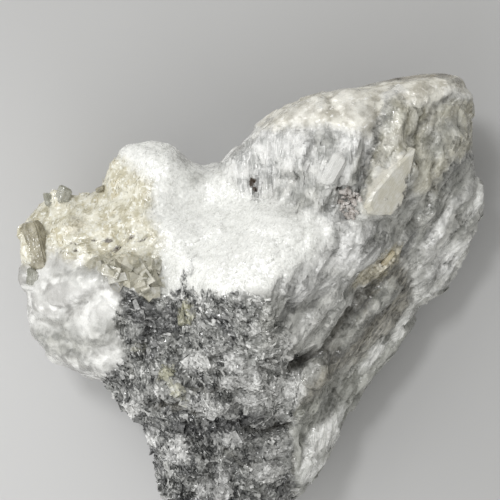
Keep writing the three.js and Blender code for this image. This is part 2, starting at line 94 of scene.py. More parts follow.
def finish(name):
    """A new material: its tree, its shader and the place on the object, in metres."""
    made = bpy.data.materials.new(name)
    made.use_nodes = True
    tree = made.node_tree
    place = add(tree, "TexCoord").outputs["Object"]
    return made, tree, tree.nodes["Principled BSDF"], place


def grey(value):
    return (value, value, value, 1)


card, tree, shader, place = finish("pale_card")
fleck = cloud(tree, place, 0.09, 2)
spread = add(tree, "SeparateXYZ", {0: place}).outputs
# Painted light: the card is paler towards its near left corner, as if lit there.
lit_near_corner = rise(tree, calc(tree, "ADD", spread[0], spread[1]), 0.02, -0.06)
paper_with_painted_light = mix(tree, lit_near_corner, grey(0.40), grey(0.51))
paper_with_painted_light = mix(tree, calc(tree, "MULTIPLY", fleck, 0.3), paper_with_painted_light, grey(0.46))
plug_in(tree, shader, {"Base Color": paper_with_painted_light, "Roughness": 0.85, "Specular IOR Level": 0.2})
bpy.ops.mesh.primitive_grid_add(x_subdivisions=2, y_subdivisions=2, size=TABLE_WIDTH)
table = bpy.context.object
table.name = "table_top"
table.data.materials.append(card)


def soft_lamp(name, watts, width, stand):
    """A square lamp that faces the lump."""
    bulb = bpy.data.lights.new(name, "AREA")
    bulb.energy = watts
    bulb.size = width
    lamp = bpy.data.objects.new(name, bulb)
    lamp.location = stand
    lamp.rotation_euler = (LIT_SPOT - lamp.location).to_track_quat("-Z", "Y").to_euler()
    scene.collection.objects.link(lamp)


soft_lamp("window_light", 1.06, 0.32, (-0.38, 0.30, 0.42))
soft_lamp("window_gap", 1.15, 0.09, (-0.16, 0.2, 0.55))
soft_lamp("pale_wall", 2.1, 0.6, (-0.3, -0.42, 0.32))

room = bpy.data.worlds.new("room")
room.use_nodes = True
sky = {"Color": (1, 0.995, 0.965, 1), "Strength": 0.6}
plug_in(room.node_tree, room.node_tree.nodes["Background"], sky)
scene.world = room

lens = bpy.data.cameras.new("camera")
lens.lens = CAMERA_LENS
lens.clip_start = 0.01
camera = bpy.data.objects.new("camera", lens)
camera.location = CAMERA_SPOT
scene.collection.objects.link(camera)
scene.camera = camera

# ------------------------------------------------------------------------------------------
# The lump.
# Massive borate, grown as one piece and broken out of the rock. Every kind of ground in it
# breaks in its own way: sugary, fibrous, hackly, layered or smooth.

# Where each kind of ground lies, seen from above, in millimetres. An outline is a list of
# corners. A patch is its middle, half length, half width, turn in degrees and strength.
OUTLINES = {
    "sugar": [
        (-24.3, 27.6), (-21.2, 28.8), (-16.9, 29.7), (-13.3, 27.1), (-12.0, 24.8), (-8.3, 23.5),
        (-5.4, 23.9), (-2.4, 19.6), (3.1, 18.1), (7.1, 16.6), (10.7, 14.8), (11.2, 11.7),
        (8.9, 8.9), (7.0, 7.8), (4.0, 6.0), (2.1, 4.0), (-0.9, 3.5), (-3.3, 3.8), (-5.2, 2.9),
        (-7.3, 3.8), (-8.9, 2.8), (-10.2, 4.7), (-11.6, 3.8), (-13.4, 2.7), (-15.4, 2.5),
        (-16.1, 4.2), (-15.6, 5.9), (-16.5, 7.7), (-16.0, 10.1), (-14.9, 12.4), (-16.0, 13.5),
        (-17.7, 15.3), (-17.2, 17.6), (-16.8, 20.6), (-18.6, 22.1), (-21.1, 24.2), (-22.8, 25.3),
    ],
    "yellow": [
        (-27.9, 20.6), (-26.5, 24.4), (-24.6, 27.4), (-22.8, 25.3), (-21.1, 24.2), (-18.6, 22.1),
        (-16.8, 20.6), (-17.2, 17.6), (-17.7, 15.3), (-16.0, 13.5), (-14.9, 12.4), (-16.0, 10.1),
        (-16.5, 8.0), (-18.5, 8.7), (-20.8, 7.7), (-22.6, 8.4), (-25.5, 8.0), (-27.1, 7.4),
        (-28.5, 8.3), (-31.5, 10.0), (-34.1, 11.0), (-35.5, 8.3), (-40.2, 8.2), (-40.9, 14.6),
        (-38.8, 18.9), (-35.1, 21.3), (-30.8, 21.6),
    ],
    "olive": [
        (-26.5, 8.3), (-25.6, 9.6), (-23.5, 9.0), (-20.9, 9.7), (-18.5, 9.0), (-16.3, 8.4),
        (-15.5, 6.7), (-15.3, 4.8), (-16.2, 3.2), (-17.4, 2.2), (-18.5, 3.4), (-19.8, 4.2),
        (-21.3, 4.8), (-22.8, 6.1), (-25.1, 7.1),
    ],
    "hackly": [
        (-21.3, 5.0), (-20.1, 4.3), (-18.5, 2.9), (-17.0, 2.5), (-15.8, 3.3), (-15.4, 2.5),
        (-13.4, 2.7), (-11.9, 4.2), (-11.1, 6.8), (-10.4, 4.5), (-8.9, 2.8), (-7.3, 3.8),
        (-5.2, 2.9), (-3.3, 4.0), (-0.9, 3.5), (1.1, 2.9), (2.4, 0.8), (4.9, -1.8), (5.7, -5.1),
        (5.8, -8.7), (7.5, -11.2), (7.0, -14.6), (5.9, -19.9), (6.4, -24.9), (6.6, -44),
        (-17.9, -44), (-18.3, -22.3), (-21.7, -20.2), (-25.8, -15.4), (-25.8, -10.1),
        (-22.2, -9.1), (-20.9, -6.0), (-21.3, -4.4), (-22.9, -2.7), (-22.1, 0.6), (-21.1, 2.6),
    ],
    "flank": [
        (12.3, 13.2), (11.2, 11.4), (8.9, 8.9), (7.0, 7.6), (4.0, 5.9), (1.1, 2.9), (2.4, 0.8),
        (4.9, -1.8), (5.7, -5.1), (5.8, -8.7), (7.5, -11.2), (7.0, -14.6), (5.9, -19.9),
        (6.4, -24.9), (6.6, -44), (14.7, -44), (42.1, -1.7), (45.5, 15.4), (44, 44),
        (38.7, 44.6), (24.1, 40.1), (20.2, 32.6), (18.8, 26.4), (16.3, 19.0), (14.3, 14.8),
    ],
    "cream": [
        (-0.8, 26.3), (1.2, 30.9), (5.2, 36.0), (12.1, 38.8), (24.1, 41.2), (34.4, 43.2),
        (38.3, 41.2), (37.6, 36.4), (32.1, 35.9), (29.2, 34.1), (25.0, 33.8), (22.7, 34.6),
        (20.8, 32.4), (19.2, 29.9), (18.5, 27.6), (16.5, 28.3), (14.5, 29.2), (10.5, 30.1),
        (6.5, 29.9), (2.5, 28.5),
    ],
    "tongue": [
        (25.6, 26.8), (25.2, 23.9), (24.1, 21.8), (24.2, 20.1), (23.5, 18.0), (20.7, 16.0),
        (18.3, 15.6), (17.2, 16.6), (17.8, 18.4), (17.7, 20.6), (20.5, 22.5), (22.1, 24.1),
        (24.1, 26.1),
    ],
    "tan": [
        (20.8, 32.4), (22.7, 34.6), (26.8, 33.8), (30.2, 33.8), (37.6, 36.0), (38.7, 29.2),
        (35.9, 27.1), (32.4, 25.1), (30.5, 22.6), (30.4, 19.8), (27.8, 19.1), (25.9, 20.4),
        (25.8, 26.5), (24.1, 26.4), (21.7, 24.4), (19.1, 21.8), (17.2, 19.1), (17.8, 23.1),
        (19.1, 26.4),
    ],
    "low_tan": [
        (23.3, 10.3), (25.0, 6.9), (26.0, 3.0), (23.5, -2.5), (18.4, -8.8), (13.3, -15.0),
        (8.5, -18.7), (6.9, -16.4), (8.3, -13.2), (10.4, -9.7), (12.6, -6.4), (15.0, -2.2),
        (17.9, 2.0), (20.5, 6.0),
    ],
    "strip": [
        (28.4, -3.4), (23.6, -10.6), (18.1, -17.1), (14.7, -22.3), (12.1, -29.1), (9.5, -44),
        (6.6, -44), (6.3, -26.5), (5.9, -19.9), (7.6, -15.0), (12.8, -12.5), (17.9, -7.0),
        (23.1, -2.0),
    ],
    "veil": [
        (7.0, 7.8), (11.0, 11.1), (14.4, 14.3), (18.8, 15.4), (21.2, 14.4), (22.5, 11.9),
        (19.7, 9.0), (16.4, 6.2), (13.0, 3.8), (9.3, 1.4), (6.4, 2.3), (4.0, 4.0), (2.4, 4.8),
    ],
    "fibre": [
        (-5.4, 23.9), (-2.4, 26.8), (-0.4, 28.5), (1.2, 29.7), (6.5, 30.2), (14.5, 29.6),
        (18.8, 28.3), (17.8, 23.1), (16.3, 19.0), (14.3, 14.8), (12.3, 13.2), (10.7, 14.8),
        (7.1, 16.6), (3.1, 18.1), (-2.4, 19.6),
    ],
}
PATCHES = {
    "glassy": [
        (-24.8, -3.2, 3.0, 1.4, 60, 0.7), (32.0, 15.5, 5.5, 3.2, -20, 1),
        (-31.0, -5.0, 5.2, 2.4, -10, 1),
        (-35.1, -4.4, 2.0, 1.7, 0, 1),
        (31.9, 15.7, 3.7, 1.8, -35, 0.7),
        (32.0, 30.3, 2.3, 1.6, 30, 0.8),
        (29.6, 28.2, 1.6, 2.6, 0, 0.6),
        (9.2, 18.5, 4.2, 1.8, 15, 1),
        (7.5, 22.1, 2.2, 1.1, 0, 0.7),
        (16.2, 23.4, 1.1, 2.9, -8, 0.9),
        (11.2, 27.3, 1.8, 1.3, 80, 0.8),
        (33.1, 21.7, 2.7, 1.3, 40, 0.6),
        (26.5, 18.0, 3.6, 1.3, 10, 0.9),
        (28.2, 15.0, 1.2, 4.7, -8, 0.8),
        (13.4, 6.9, 2.3, 0.8, 8, 0.7),
        (-32.7, -3.4, 3.0, 1.3, 10, 0.7),
        (-28.4, 6.1, 2.3, 0.8, 0, 0.6),
        (-31.3, -6.6, 2.7, 0.7, -30, 0.8),
        (12.9, -14.0, 3.8, 1.5, 60, 0.8),
        (20.9, 2.0, 1.3, 4.0, -35, 0.8),
        (15.9, -3.0, 1.3, 3.7, -35, 0.7),
        (3.1, -2.5, 2.2, 1.3, 60, 0.6),
        (2.4, -0.8, 1.6, 2.2, 0, 0.5),
        (-9.0, 21.9, 0.8, 0.7, 0, 0.5),
        (14.5, 19.0, 1.9, 1.1, 60, 0.6),
        (21.5, 31.2, 1.1, 1.9, -10, 0.6),
        (4.7, 19.7, 1.9, 0.8, 10, 0.6),
        (23.0, 13.6, 2.9, 1.1, 30, 0.9),
        (18.5, 15.9, 1.1, 0.8, 0, 0.7),
    ],
    "silver": [
        (34.8, 9.4, 4.4, 2.4, 15, 1),
        (29.6, 1.6, 1.6, 3.1, -38, 0.8),
        (26.0, -2.6, 1.4, 3.1, -38, 0.7),
        (9.7, -24.3, 1.4, 4.4, -20, 0.9),
        (12.9, -20.4, 1.4, 3.4, -28, 0.6),
        (31.1, 15.0, 0.5, 4.0, -35, 0.4),
        (36.6, 17.9, 0.5, 3.1, -30, 0.4),
        (20.4, -7.7, 1.0, 2.7, -38, 0.6),
    ],
    "soot": [
        (-18.6, 0.9, 3.2, 2.1, -30, 1), (-14.6, -1.5, 3.2, 2.3, 20, 0.8),
        (-16.9, -5.1, 2.7, 1.9, 60, 0.8), (-23.3, -10.2, 1.7, 0.7, 10, 1),
        (-6.0, -18.4, 7.5, 1.2, 6, 1), (-13.4, -15.8, 3.6, 1.0, -12, 1),
        (-19.6, -18.8, 2.1, 0.9, -30, 0.9),
        (-16.3, -25.2, 3.2, 0.9, 90, 0.9), (0.4, -19.7, 5.0, 0.7, 9, 1),
        (-0.4, -16.9, 2.1, 1.0, 20, 0.9), (5.3, -29.6, 2.2, 1.5, 50, 1),
        (-8.0, -11.7, 2.4, 0.5, -3, 0.9), (8.5, -8.1, 3.1, 0.7, 17, 1),
        (4.8, -0.4, 3.4, 0.6, 66, 0.6), (17.7, 1.1, 3.3, 0.5, 46, 0.7),
        (21.8, 6.8, 4.0, 0.4, 58, 0.6), (25.4, 12.1, 2.7, 0.5, 55, 0.7),
        (19.8, 29.6, 3.5, 0.4, 72, 0.5), (17.4, 22.2, 4.5, 0.6, 71, 0.7),
        (33.6, 23.7, 3.9, 0.6, 40, 0.2), (0.4, 21.1, 1.5, 0.5, 88, 1),
        (6.0, 22.1, 1.0, 0.6, 0, 0.7), (14.5, 17.9, 2.7, 1.4, 75, 0.5),
        (24.6, 10.0, 1.0, 0.7, 30, 0.9), (13.6, -6.7, 2.3, 0.5, 38, 0.6),
        (-12.1, 3.8, 1.1, 0.4, 70, 1), (-10.9, 6.0, 1.4, 0.35, 60, 1),
        (-0.6, -23.5, 1.2, 0.7, 20, 0.9), (2.9, -29.0, 1.3, 0.7, 60, 0.9),
        (-3.7, -15.3, 0.8, 0.6, 0, 0.7), (-9.8, -19.2, 3.3, 0.7, -20, 0.7),
        (-4.3, -2.4, 2.2, 0.8, -50, 0.5), (20.7, 0.8, 3.8, 0.9, 50, 0.35),
        (8.7, -25.9, 3.5, 0.8, 85, 0.35), (-4.5, -25.6, 2.6, 0.8, 20, 0.6),
        (31.5, 15.8, 3.6, 1.0, 48, 0.35), (-31.0, -5.2, 3.2, 0.8, -30, 0.35),
        (8.6, 25.5, 2.4, 0.5, 80, 0.35),
    ],
    "milk": [
        (-20.3, -15.5, 1.5, 0.8, -50, 1), (-16.7, -20.4, 1.2, 0.7, -70, 1),
        (5.5, -12.5, 2.2, 1.2, 60, 1), (-12.3, -22.9, 1.6, 1.6, 0, 0.9),
        (-8.3, -28.8, 2.0, 1.0, 90, 0.8), (-5.4, -28.4, 2.3, 1.0, 85, 0.7),
        (32.7, 8.2, 4.1, 1.5, 25, 0.8), (35.6, 8.2, 2.1, 1.7, 0, 0.8),
        (-0.6, -9.9, 1.6, 0.6, 65, 1), (-3.6, -7.6, 2.2, 1.4, -30, 0.5),
        (-8.8, -14.6, 2.1, 1.1, -10, 0.6), (-1.4, -13.7, 2.6, 1.0, 10, 0.6),
        (16.4, 1.5, 0.8, 0.8, 0, 1), (-10.5, -8.3, 1.3, 0.8, 0, 0.5),
        (2.9, -23.4, 1.7, 0.8, 10, 0.6), (1.6, -26.3, 2.2, 1.5, 10, 0.5),
        (-3.7, -20.8, 2.3, 1.0, 0, 0.5), (29.5, 12.8, 2.7, 1.0, 60, 0.5),
        (14.5, 8.4, 1.5, 0.5, 40, 0.7), (15.6, 11.4, 1.6, 0.5, 20, 0.7),
    ],
    "olive": [
        (-11.1, 0.1, 1.5, 1.0, 60, 1), (-18.5, -5.5, 1.0, 0.6, 0, 0.8),
        (-14.3, -9.7, 1.3, 1.1, 60, 1), (-12.4, -12.4, 1.6, 0.6, -40, 1),
        (-26.3, 21.6, 1.2, 0.5, 10, 0.9),
    ],
    "gold": [
        (-29.6, 14.3, 1.4, 1.2, 0, 0.7),
        (22.4, 9.3, 2.0, 1.3, 55, 1), (20.4, 6.8, 2.4, 1.5, 50, 1), (18.1, 5.4, 2.0, 1.0, 35, 1),
    ],
    "pore": [
        (-0.3, 21.3, 0.70, 0.40, 85, 1),
        (0.4, 20.2, 0.45, 0.30, 60, 1),
        (6.5, 21.8, 0.50, 0.30, 0, 1),
        (-29.4, 11.3, 0.52, 0.21, 0, 1),
        (-28.9, 10.3, 0.65, 0.24, 0, 1),
        (-30.3, 11.4, 0.78, 0.18, 10, 1),
        (-26.3, 11.9, 0.65, 0.18, 20, 1),
        (-24, 11.9, 0.78, 0.18, 30, 1),
        (-22.6, 10.5, 0.65, 0.24, 20, 1),
        (-20.1, 12.4, 0.78, 0.21, 55, 1),
        (-19.5, 11.8, 0.78, 0.18, -20, 1),
        (-18.1, 12.2, 0.52, 0.18, 0, 1),
        (-25, 8, 0.78, 0.21, 0, 1),
        (16.1, 18.8, 0.80, 0.35, 60, 1),
        (15.3, 15.8, 0.60, 0.35, 20, 1),
        (13.4, 19.9, 0.60, 0.35, 30, 1),
    ],
}
# Seams: where layers part. Each is its depth, its half width and the line that it follows.
SEAMS = [
    (0.5, 0.45, [(2.5, 28.5), (4.9, 29.4), (6.8, 29.9), (10.5, 30.1), (13.0, 29.4),
        (15.9, 28.4), (17.7, 27.9), (18.8, 30.6), (19.7, 32.7)]),
    (0.7, 0.7, [(19.7, 32.4), (18.5, 29.7), (17.7, 27.9), (17.3, 26.5), (17.0, 24.3),
        (17.7, 22.8), (16.9, 20.9), (16.6, 19.1), (17.0, 17.3)]),
    (1, 0.8, [(32.3, 35.8), (29.4, 33.6), (26.8, 29.6), (25.2, 27.9), (25.2, 26.1)]),
    (1.2, 0.7, [(25.2, 26.1), (24.9, 23.1), (24.1, 21.3), (24.4, 19.8), (23.2, 17.5),
        (21.6, 16.3)]),
    (0.4, 1.2, [(30.6, 19.8), (30.2, 21.2), (32.3, 24.1), (36.3, 27.7)]),
    (0.8, 0.6, [(29.5, 21.1), (29.2, 23.4), (29.6, 25.7)]),
    (0.6, 0.9, [(17.4, 15.4), (19.5, 14.8), (22.4, 14.9), (23.7, 13.4), (24.3, 10.5),
        (23.2, 9.3), (22.1, 7.0), (20.2, 5.0)]),
    (1.3, 0.8, [(20.2, 5.0), (17.5, 2.0), (15.0, -1.3), (13.0, -4.3), (11.2, -6.3),
        (8.3, -7.6), (5.8, -9.2)]),
    (0.8, 0.7, [(25.8, 6.6), (26.6, 4.2), (26.3, 1.9)]),
    (0.5, 0.6, [(10.9, 10.0), (13.6, 10.1), (15.9, 10.5)]),
    (0.7, 0.6, [(14.1, 5.3), (16.9, 6.7), (18.0, 7.4), (19.9, 8.2)]),
    (0.4, 0.6, [(10.7, 14.5), (11.0, 10.6)]),
    (0.8, 0.6, [(1.0, -9.0), (4.0, -8.6), (6.3, -7.3), (8.7, -7.3), (11.4, -6.3),
        (12.6, -6.2), (13.7, -4.9), (15.9, -3.4)]),
    (0.7, 0.6, [(12.6, -6.2), (12.0, -8.4), (12.2, -11.0), (10.9, -12.3), (9.4, -14.4),
        (7.9, -17.5)]),
    (1.2, 0.6, [(-1.4, -19.1), (2.2, -19.9), (4.1, -19.4), (5.8, -18.9)]),
    (1, 0.6, [(-10.6, -12.0), (-7.7, -12.3), (-5.4, -11.9)]),
    (1, 0.6, [(-13.7, -11.6), (-13.5, -13.1), (-12.2, -14.2)]),
    (1.2, 0.8, [(-16.5, -15.2), (-14.1, -15.5), (-12.1, -15.4), (-10.0, -16.2)]),
    (0.8, 0.6, [(-21.2, 4.8), (-20.9, 3.0), (-21.3, 0.8), (-22.5, -2.5), (-21.5, -4.4),
        (-20.9, -7.1), (-20.4, -8.2), (-19.5, -10.5)]),
    (0.8, 0.6, [(-0.4, -25.2), (1.1, -25.1), (2.7, -25.5), (4.1, -26.7), (3.1, -28.2)]),
    (0.9, 0.6, [(6.8, -23.1), (6.4, -25.4), (6.8, -27.8), (5.8, -30.1)]),
    (0.9, 0.7, [(-4.9, -22.2), (-3.1, -24.0), (-0.4, -25.4)]),
    (0.6, 0.9, [(5.1, 1.4), (3.9, -1.5), (2.6, -4.2)]),
    (0.9, 0.8, [(12.1, 0.0), (9.7, -2.9), (7.7, -4.5), (5.6, -5.9), (2.4, -7.2)]),
    (0.9, 0.8, [(-24.7, 4.3), (-26.6, 2.8), (-29.5, 0.7), (-31.5, -1.4), (-32.3, -2.1),
        (-34.3, -1.1), (-36.3, -1.2)]),
    (0.6, 0.6, [(-32.3, -2.1), (-31.1, -2.9), (-29.7, -4.3), (-28.5, -4.6)]),
    (0.5, 0.6, [(-37.5, -5.0), (-34.2, -5.3), (-32.5, -6.3)]),
    (0.8, 0.5, [(-34.5, 13.6), (-35.0, 11.3), (-35.5, 8.8), (-36.6, 7.2)]),
    (0.7, 0.6, [(27.8, 18.5), (26.5, 14.9), (25.4, 12.0)]),
    (0.8, 0.7, [(33.7, 16.2), (31.2, 12.8), (29.2, 9.0), (28.0, 6.1)]),
    (0.7, 0.7, [(24.7, 1.8), (22.2, -2.5), (20.0, -5.9), (17.2, -9.9)]),
    (0.6, 0.6, [(14.6, -10.5), (11.9, -13.7), (9.7, -17.7), (8.0, -21.7)]),
]
# Lobes: plates, blades and knobs that stand proud. Each is its height, its half width, how
# white it is and the line along its back.
LOBES = [
    (0.9, 0.7, 0.4, [(11.6, 19.6), (10.1, 17.1)]),
    (0.8, 1.1, 0.1, [(16.5, 29.7), (15.6, 26.4), (14.9, 21.6)]),
    (0.7, 1.1, 0.4, [(22.1, 28.4), (20.7, 26.1), (19.5, 23.2)]),
    (1, 2.6, 0, [(38.5, 18.0), (35.9, 14.1), (33.7, 10.3)]),
    (0.8, 1.7, 0.1, [(33.4, 28.7), (31.0, 25.2)]),
    (0.8, 1.1, 0.3, [(36.8, 21.1), (33.2, 17.7), (30.8, 14.3)]),
    (0.9, 2, 0.2, [(29.8, 10.3), (28.2, 5.2)]),
    (0.7, 0.9, 0.7, [(32.5, 6.9), (35.1, 7.2), (36.9, 8.2)]),
    (0.7, 1.7, 0.3, [(8.7, -0.5), (6.6, -4.1)]),
    (0.5, 1.6, 0.8, [(7.3, -10.6), (5.5, -12.4)]),
    (0.7, 2.5, 0, [(9.6, -10.1), (7.2, -16.1)]),
    (0.9, 0.6, 1, [(-0.1, -9.6), (-0.8, -11.5)]),
    (1.1, 1.3, 0.8, [(-12.1, -20.9), (-11.4, -22.6)]),
    (1.2, 1.6, 0.3, [(1.2, -26.5), (3.2, -26.6)]),
    (1, 1.3, 0.5, [(-5.4, -25.6), (-5.4, -29.9)]),
    (0.8, 1.1, 0.1, [(-15.6, -21.3), (-15.2, -26.4)]),
    (1, 0.9, 1, [(-20.3, -14.9), (-19.2, -15.9)]),
    (0.8, 0.7, 0.9, [(-16.6, -19.7), (-16.2, -21.6)]),
    (0.9, 2.6, 0.3, [(15.0, 34.7), (17.1, 32.0)]),
    (0.8, 1.2, 0.6, [(21.2, 35.0), (23.8, 36.1)]),
    (0.7, 1.1, 0.5, [(31.7, 36.2), (34.5, 36.0)]),
    (0.8, 2.3, 0.4, [(2.2, 26.4), (7.3, 27.6)]),
    (0.8, 1.8, 0.3, [(10.3, 33.5), (7.3, 31.7)]),
    (0.7, 1, 0.5, [(16.3, 12.5), (18.6, 13.9)]),
    (0.7, 0.8, 0.5, [(14.3, 11.4), (13.5, 9.0)]),
    (0.6, 3.6, 0.1, [(-28.4, -1.5), (-23.8, 1.5)]),
    (0.8, 2.6, 0.3, [(-31.6, 3.6), (-27.0, 4.6)]),
    (0.9, 1.7, 0, [(-36.1, -3.8), (-32.0, -5.7)]),
    (0.7, 1.3, 0.1, [(-27.8, -7.0), (-24.3, -9.9)]),
    (0.7, 1, 0.2, [(-7.9, -6.2), (-5.3, -4.8)]),
    (0.8, 0.9, 0.5, [(-9.4, -6.7), (-8.2, -8.0)]),
    (0.8, 1.2, 0.5, [(-4.9, -11.2), (-2.4, -10.6)]),
    (0.7, 1.2, 0.3, [(-6.6, -14.5), (-3.7, -15.9)]),
    (0.6, 0.8, 0.4, [(1.2, -13.5), (2.8, -12.1)]),
    (0.8, 1.5, 0.2, [(31.0, 12.0), (32.4, 15.0)]),
    (0.8, 1.3, 0.2, [(27.5, 1.7), (24.7, -3.5)]),
    (0.7, 1.2, 0.1, [(22.0, -1.9), (19.0, -6.8)]),
    (0.7, 1.3, 0.1, [(16.5, -7.0), (13.9, -11.6)]),
    (0.7, 1.4, 0.2, [(13.0, -14.6), (10.5, -18.6)]),
    (0.8, 1.2, 0.2, [(10.8, -19.4), (9.1, -23.2)]),
    (0.7, 1.1, 0.3, [(9.0, 5.8), (6.6, 3.2)]),
    (0.7, 1, 0.3, [(12.1, 8.4), (9.8, 6.1)]),
    (0.6, 0.9, 0.3, [(13.3, 2.1), (11.0, -0.1)]),
    (0.8, 1.1, 0, [(19.6, 1.9), (17.0, -1.1)]),
    (0.7, 0.9, 0.2, [(23.4, 31.6), (22.8, 28.1)]),
    (0.7, 0.9, 0.2, [(26.1, 32.7), (25.6, 28.2)]),
    (0.6, 0.9, 0.1, [(29.0, 32.9), (27.7, 29.6)]),
    (0.7, 1.2, 0.1, [(28.0, 25.3), (27.0, 21.1)]),
    (0.7, 1.4, 0.2, [(31.8, 1.7), (29.1, -1.0)]),
    (0.8, 1.4, 0.3, [(-17.3, 25.5), (-21.2, 26.7)]),
    (0.5, 2.4, 0.2, [(-12.6, 13.2), (-7.3, 14.9)]),
    (0.5, 2.4, 0.2, [(-5.6, 8.4), (1.2, 10.3)]),
    (0.5, 2, 0.2, [(0.5, 14.8), (5.7, 13.2)]),
    (0.4, 1.8, 0.2, [(-11.8, 8.4), (-7.8, 6.8)]),
    (0.5, 1.9, 0.2, [(-10.7, 19.9), (-6.4, 20.5)]),
]
RIM = [(1.3, 33.3), (2.7, 34.6), (5.1, 35.8), (8.1, 36.7), (11.2, 37.4), (15.5, 38.1),
        (20.1, 38.9), (24.3, 38.7), (28.9, 39.0), (32.3, 39.2)]
# How far the layers of the flank lean to the right as they rise, at each height up the lump.
LEANS = [(-45, 0.6), (-22, 0.6), (-8, 0.9), (5, 0.9), (23, 0.12), (45, 0.12)]
SKIN_SIZE = 0.44  # the width of the faces of the lump, in millimetres
RESTING_HEIGHT = 0.35  # points below it belong to the flat resting face
UPPER_FROM, UPPER_OVER = 10, 8  # the height where the upper side starts, and how softly
PATCHES_FROM, MARKS_FROM = 13, 14  # patches, seams and lobes lie above these heights
RIM_FROM, RIM_OVER = 34.5, 3  # how far out the straight far rim starts, and how softly
SMOOTHING, TONGUE_SMOOTHING, HOLLOW_SMOOTHING = 14, 25, 10  # rounds of smoothing
FAR_OUT = -9.0  # how far outside a kind of ground counts as far

DRAWS = 1024  # how many random slopes and spots the noise has
table_draw = np.random.default_rng(5)
SLOPES = table_draw.normal(size=(DRAWS, 3))
SLOPES /= np.linalg.norm(SLOPES, axis=1)[:, None]
SPOTS = table_draw.random((DRAWS, 3))


def numbered(cell, seed):
    """A fixed random number for every cell of a grid."""
    mixed = (cell[:, 0] * 73856093) ^ (cell[:, 1] * 19349663) ^ (cell[:, 2] * 83492791)
    mixed = (mixed ^ (seed * 9176263)) & 0x7FFFFFFF
    mixed = ((mixed ^ (mixed >> 13)) * 1540483477) & 0x7FFFFFFF
    return (mixed ^ (mixed >> 15)) % DRAWS


def waves(points, size, seed):
    """Smooth noise from about -1 to 1. Size is the length of its waves, for all axes or each."""
    place = points / size
    cell = np.floor(place).astype(np.int64)
    part = place - cell
    fade = part**3 * (part * (part * 6 - 15) + 10)
    total = np.zeros(len(points))
    for corner in itertools.product((0, 1), repeat=3):
        slope = SLOPES[numbered(cell + corner, seed)]
        weight = np.prod(np.where(corner, fade, 1 - fade), axis=1)
        total += weight * ((part - corner) * slope).sum(axis=1)
    return 1.6 * total


def shards_of(points, size, seed):
    """Noise of flat, tilted facets with steps between them, as freshly broken crystal has."""
    place = points / size
    base = np.floor(place).astype(np.int64)
    nearest = np.full(len(points), 9.0)
    tilt = np.zeros(len(points))
    for step in itertools.product((-1, 0, 1), repeat=3):
        number = numbered(base + step, seed)
        away = place - (base + step) - SPOTS[number]
        far = (away**2).sum(axis=1)
        closer = far < nearest
        nearest = np.where(closer, far, nearest)
        tilt = np.where(closer, (away * SLOPES[number]).sum(axis=1) + 0.4 * SPOTS[number, 0], tilt)
    return tilt


def depth_in_outline(outline, x, y):
    """How far (x, y) lies inside an outline, in millimetres; negative outside it."""
    nearest = np.full(len(x), np.inf)
    inside = np.zeros(len(x), bool)
    for (ax, ay), (bx, by) in zip(outline, outline[1:] + outline[:1]):
        dx, dy = bx - ax, by - ay
        share = np.clip(((x - ax) * dx + (y - ay) * dy) / (dx * dx + dy * dy), 0, 1)
        nearest = np.minimum(nearest, np.hypot(x - ax - share * dx, y - ay - share * dy))
        if dy:
            inside ^= ((ay > y) != (by > y)) & (x < dx * (y - ay) / dy + ax)
    return np.where(inside, nearest, -nearest)


def depth_in_patches(patches, x, y):
    deepest = np.full(len(x), FAR_OUT)
    for px, py, length, width, turn, strength in patches:
        c, s = math.cos(math.radians(turn)), math.sin(math.radians(turn))
        along = ((x - px) * c + (y - py) * s) / length
        across = ((y - py) * c - (x - px) * s) / width
        inside = (1 - np.hypot(along, across)) * width
        deepest = np.maximum(deepest, np.where(inside > 0, strength * inside, inside))
    return deepest


def ground_at(points):
    """How deep each point lies in every kind of ground, with ragged borders."""
    ragged = np.zeros((len(points), 2))
    for size, reach in ((2.4, 0.5), (1.0, 0.35)):
        ragged[:, 0] += reach * waves(points, size, 1)
        ragged[:, 1] += reach * waves(points, size, 2)
    below = np.clip((17 - points[:, 2]) / 10, 0, 1)
    ragged[:, 0] += below * 6 * waves(points, 11, 3)
    ragged[:, 1] += below * 6 * waves(points, 11, 4)
    x, y = (points[:, :2] + ragged).T
    found = {name: depth_in_outline(outline, x, y) for name, outline in OUTLINES.items()}
    for name, patches in PATCHES.items():
        inside = depth_in_patches(patches, x, y)
        inside = np.where(points[:, 2] < PATCHES_FROM, FAR_OUT, inside)
        found[name] = np.maximum(found.get(name, inside), inside)
    return found


def distance_to(line, x, y):
    """How far each (x, y) lies from a line through several points, and on which side of it:
    from -1 towards the upper left to 1 towards the lower right."""
    nearest = np.full(len(x), np.inf)
    side = np.zeros(len(x))
    for (ax, ay), (bx, by) in zip(line, line[1:]):
        dx, dy = bx - ax, by - ay
        share = np.clip(((x - ax) * dx + (y - ay) * dy) / (dx * dx + dy * dy), 0, 1)
        off_x, off_y = x - ax - share * dx, y - ay - share * dy
        away = np.hypot(off_x, off_y)
        closer = away < nearest
        side = np.where(closer, (0.8 * off_x - 0.6 * off_y) / np.maximum(away, 0.01), side)
        nearest = np.where(closer, away, nearest)
    return nearest, side


def marks_at(points):
    """How deep the seams are, how high and how white the lobes are, and the rim's stain."""
    x = points[:, 0] + 0.4 * waves(points, 2.0, 33) + 0.15 * waves(points, 0.8, 34)
    y = points[:, 1] + 0.4 * waves(points, 2.0, 35) + 0.15 * waves(points, 0.8, 36)
    above = points[:, 2] > MARKS_FROM
    seam, lobe, pale = np.zeros((3, len(points)))
    for depth, width, line in SEAMS:
        away, _ = distance_to(line, x, y)
        seam = np.maximum(seam, depth * np.exp(-((away / width) ** 2)))
    for height, width, whiteness, line in LOBES:
        away, side = distance_to(line, x, y)
        part = np.clip(away / width, 0, 1)
        plate = np.sqrt(1 - part**2) * 0.45 + (part < 1) * 0.3 * (1 + side * part)
        lobe = np.maximum(lobe, height * plate)
        pale = np.maximum(pale, whiteness * np.sqrt(1 - part**2))
    stain = np.exp(-((distance_to(RIM, x, y)[0] / 0.6) ** 2))
    return above * seam, above * lobe, above * pale, above * stain


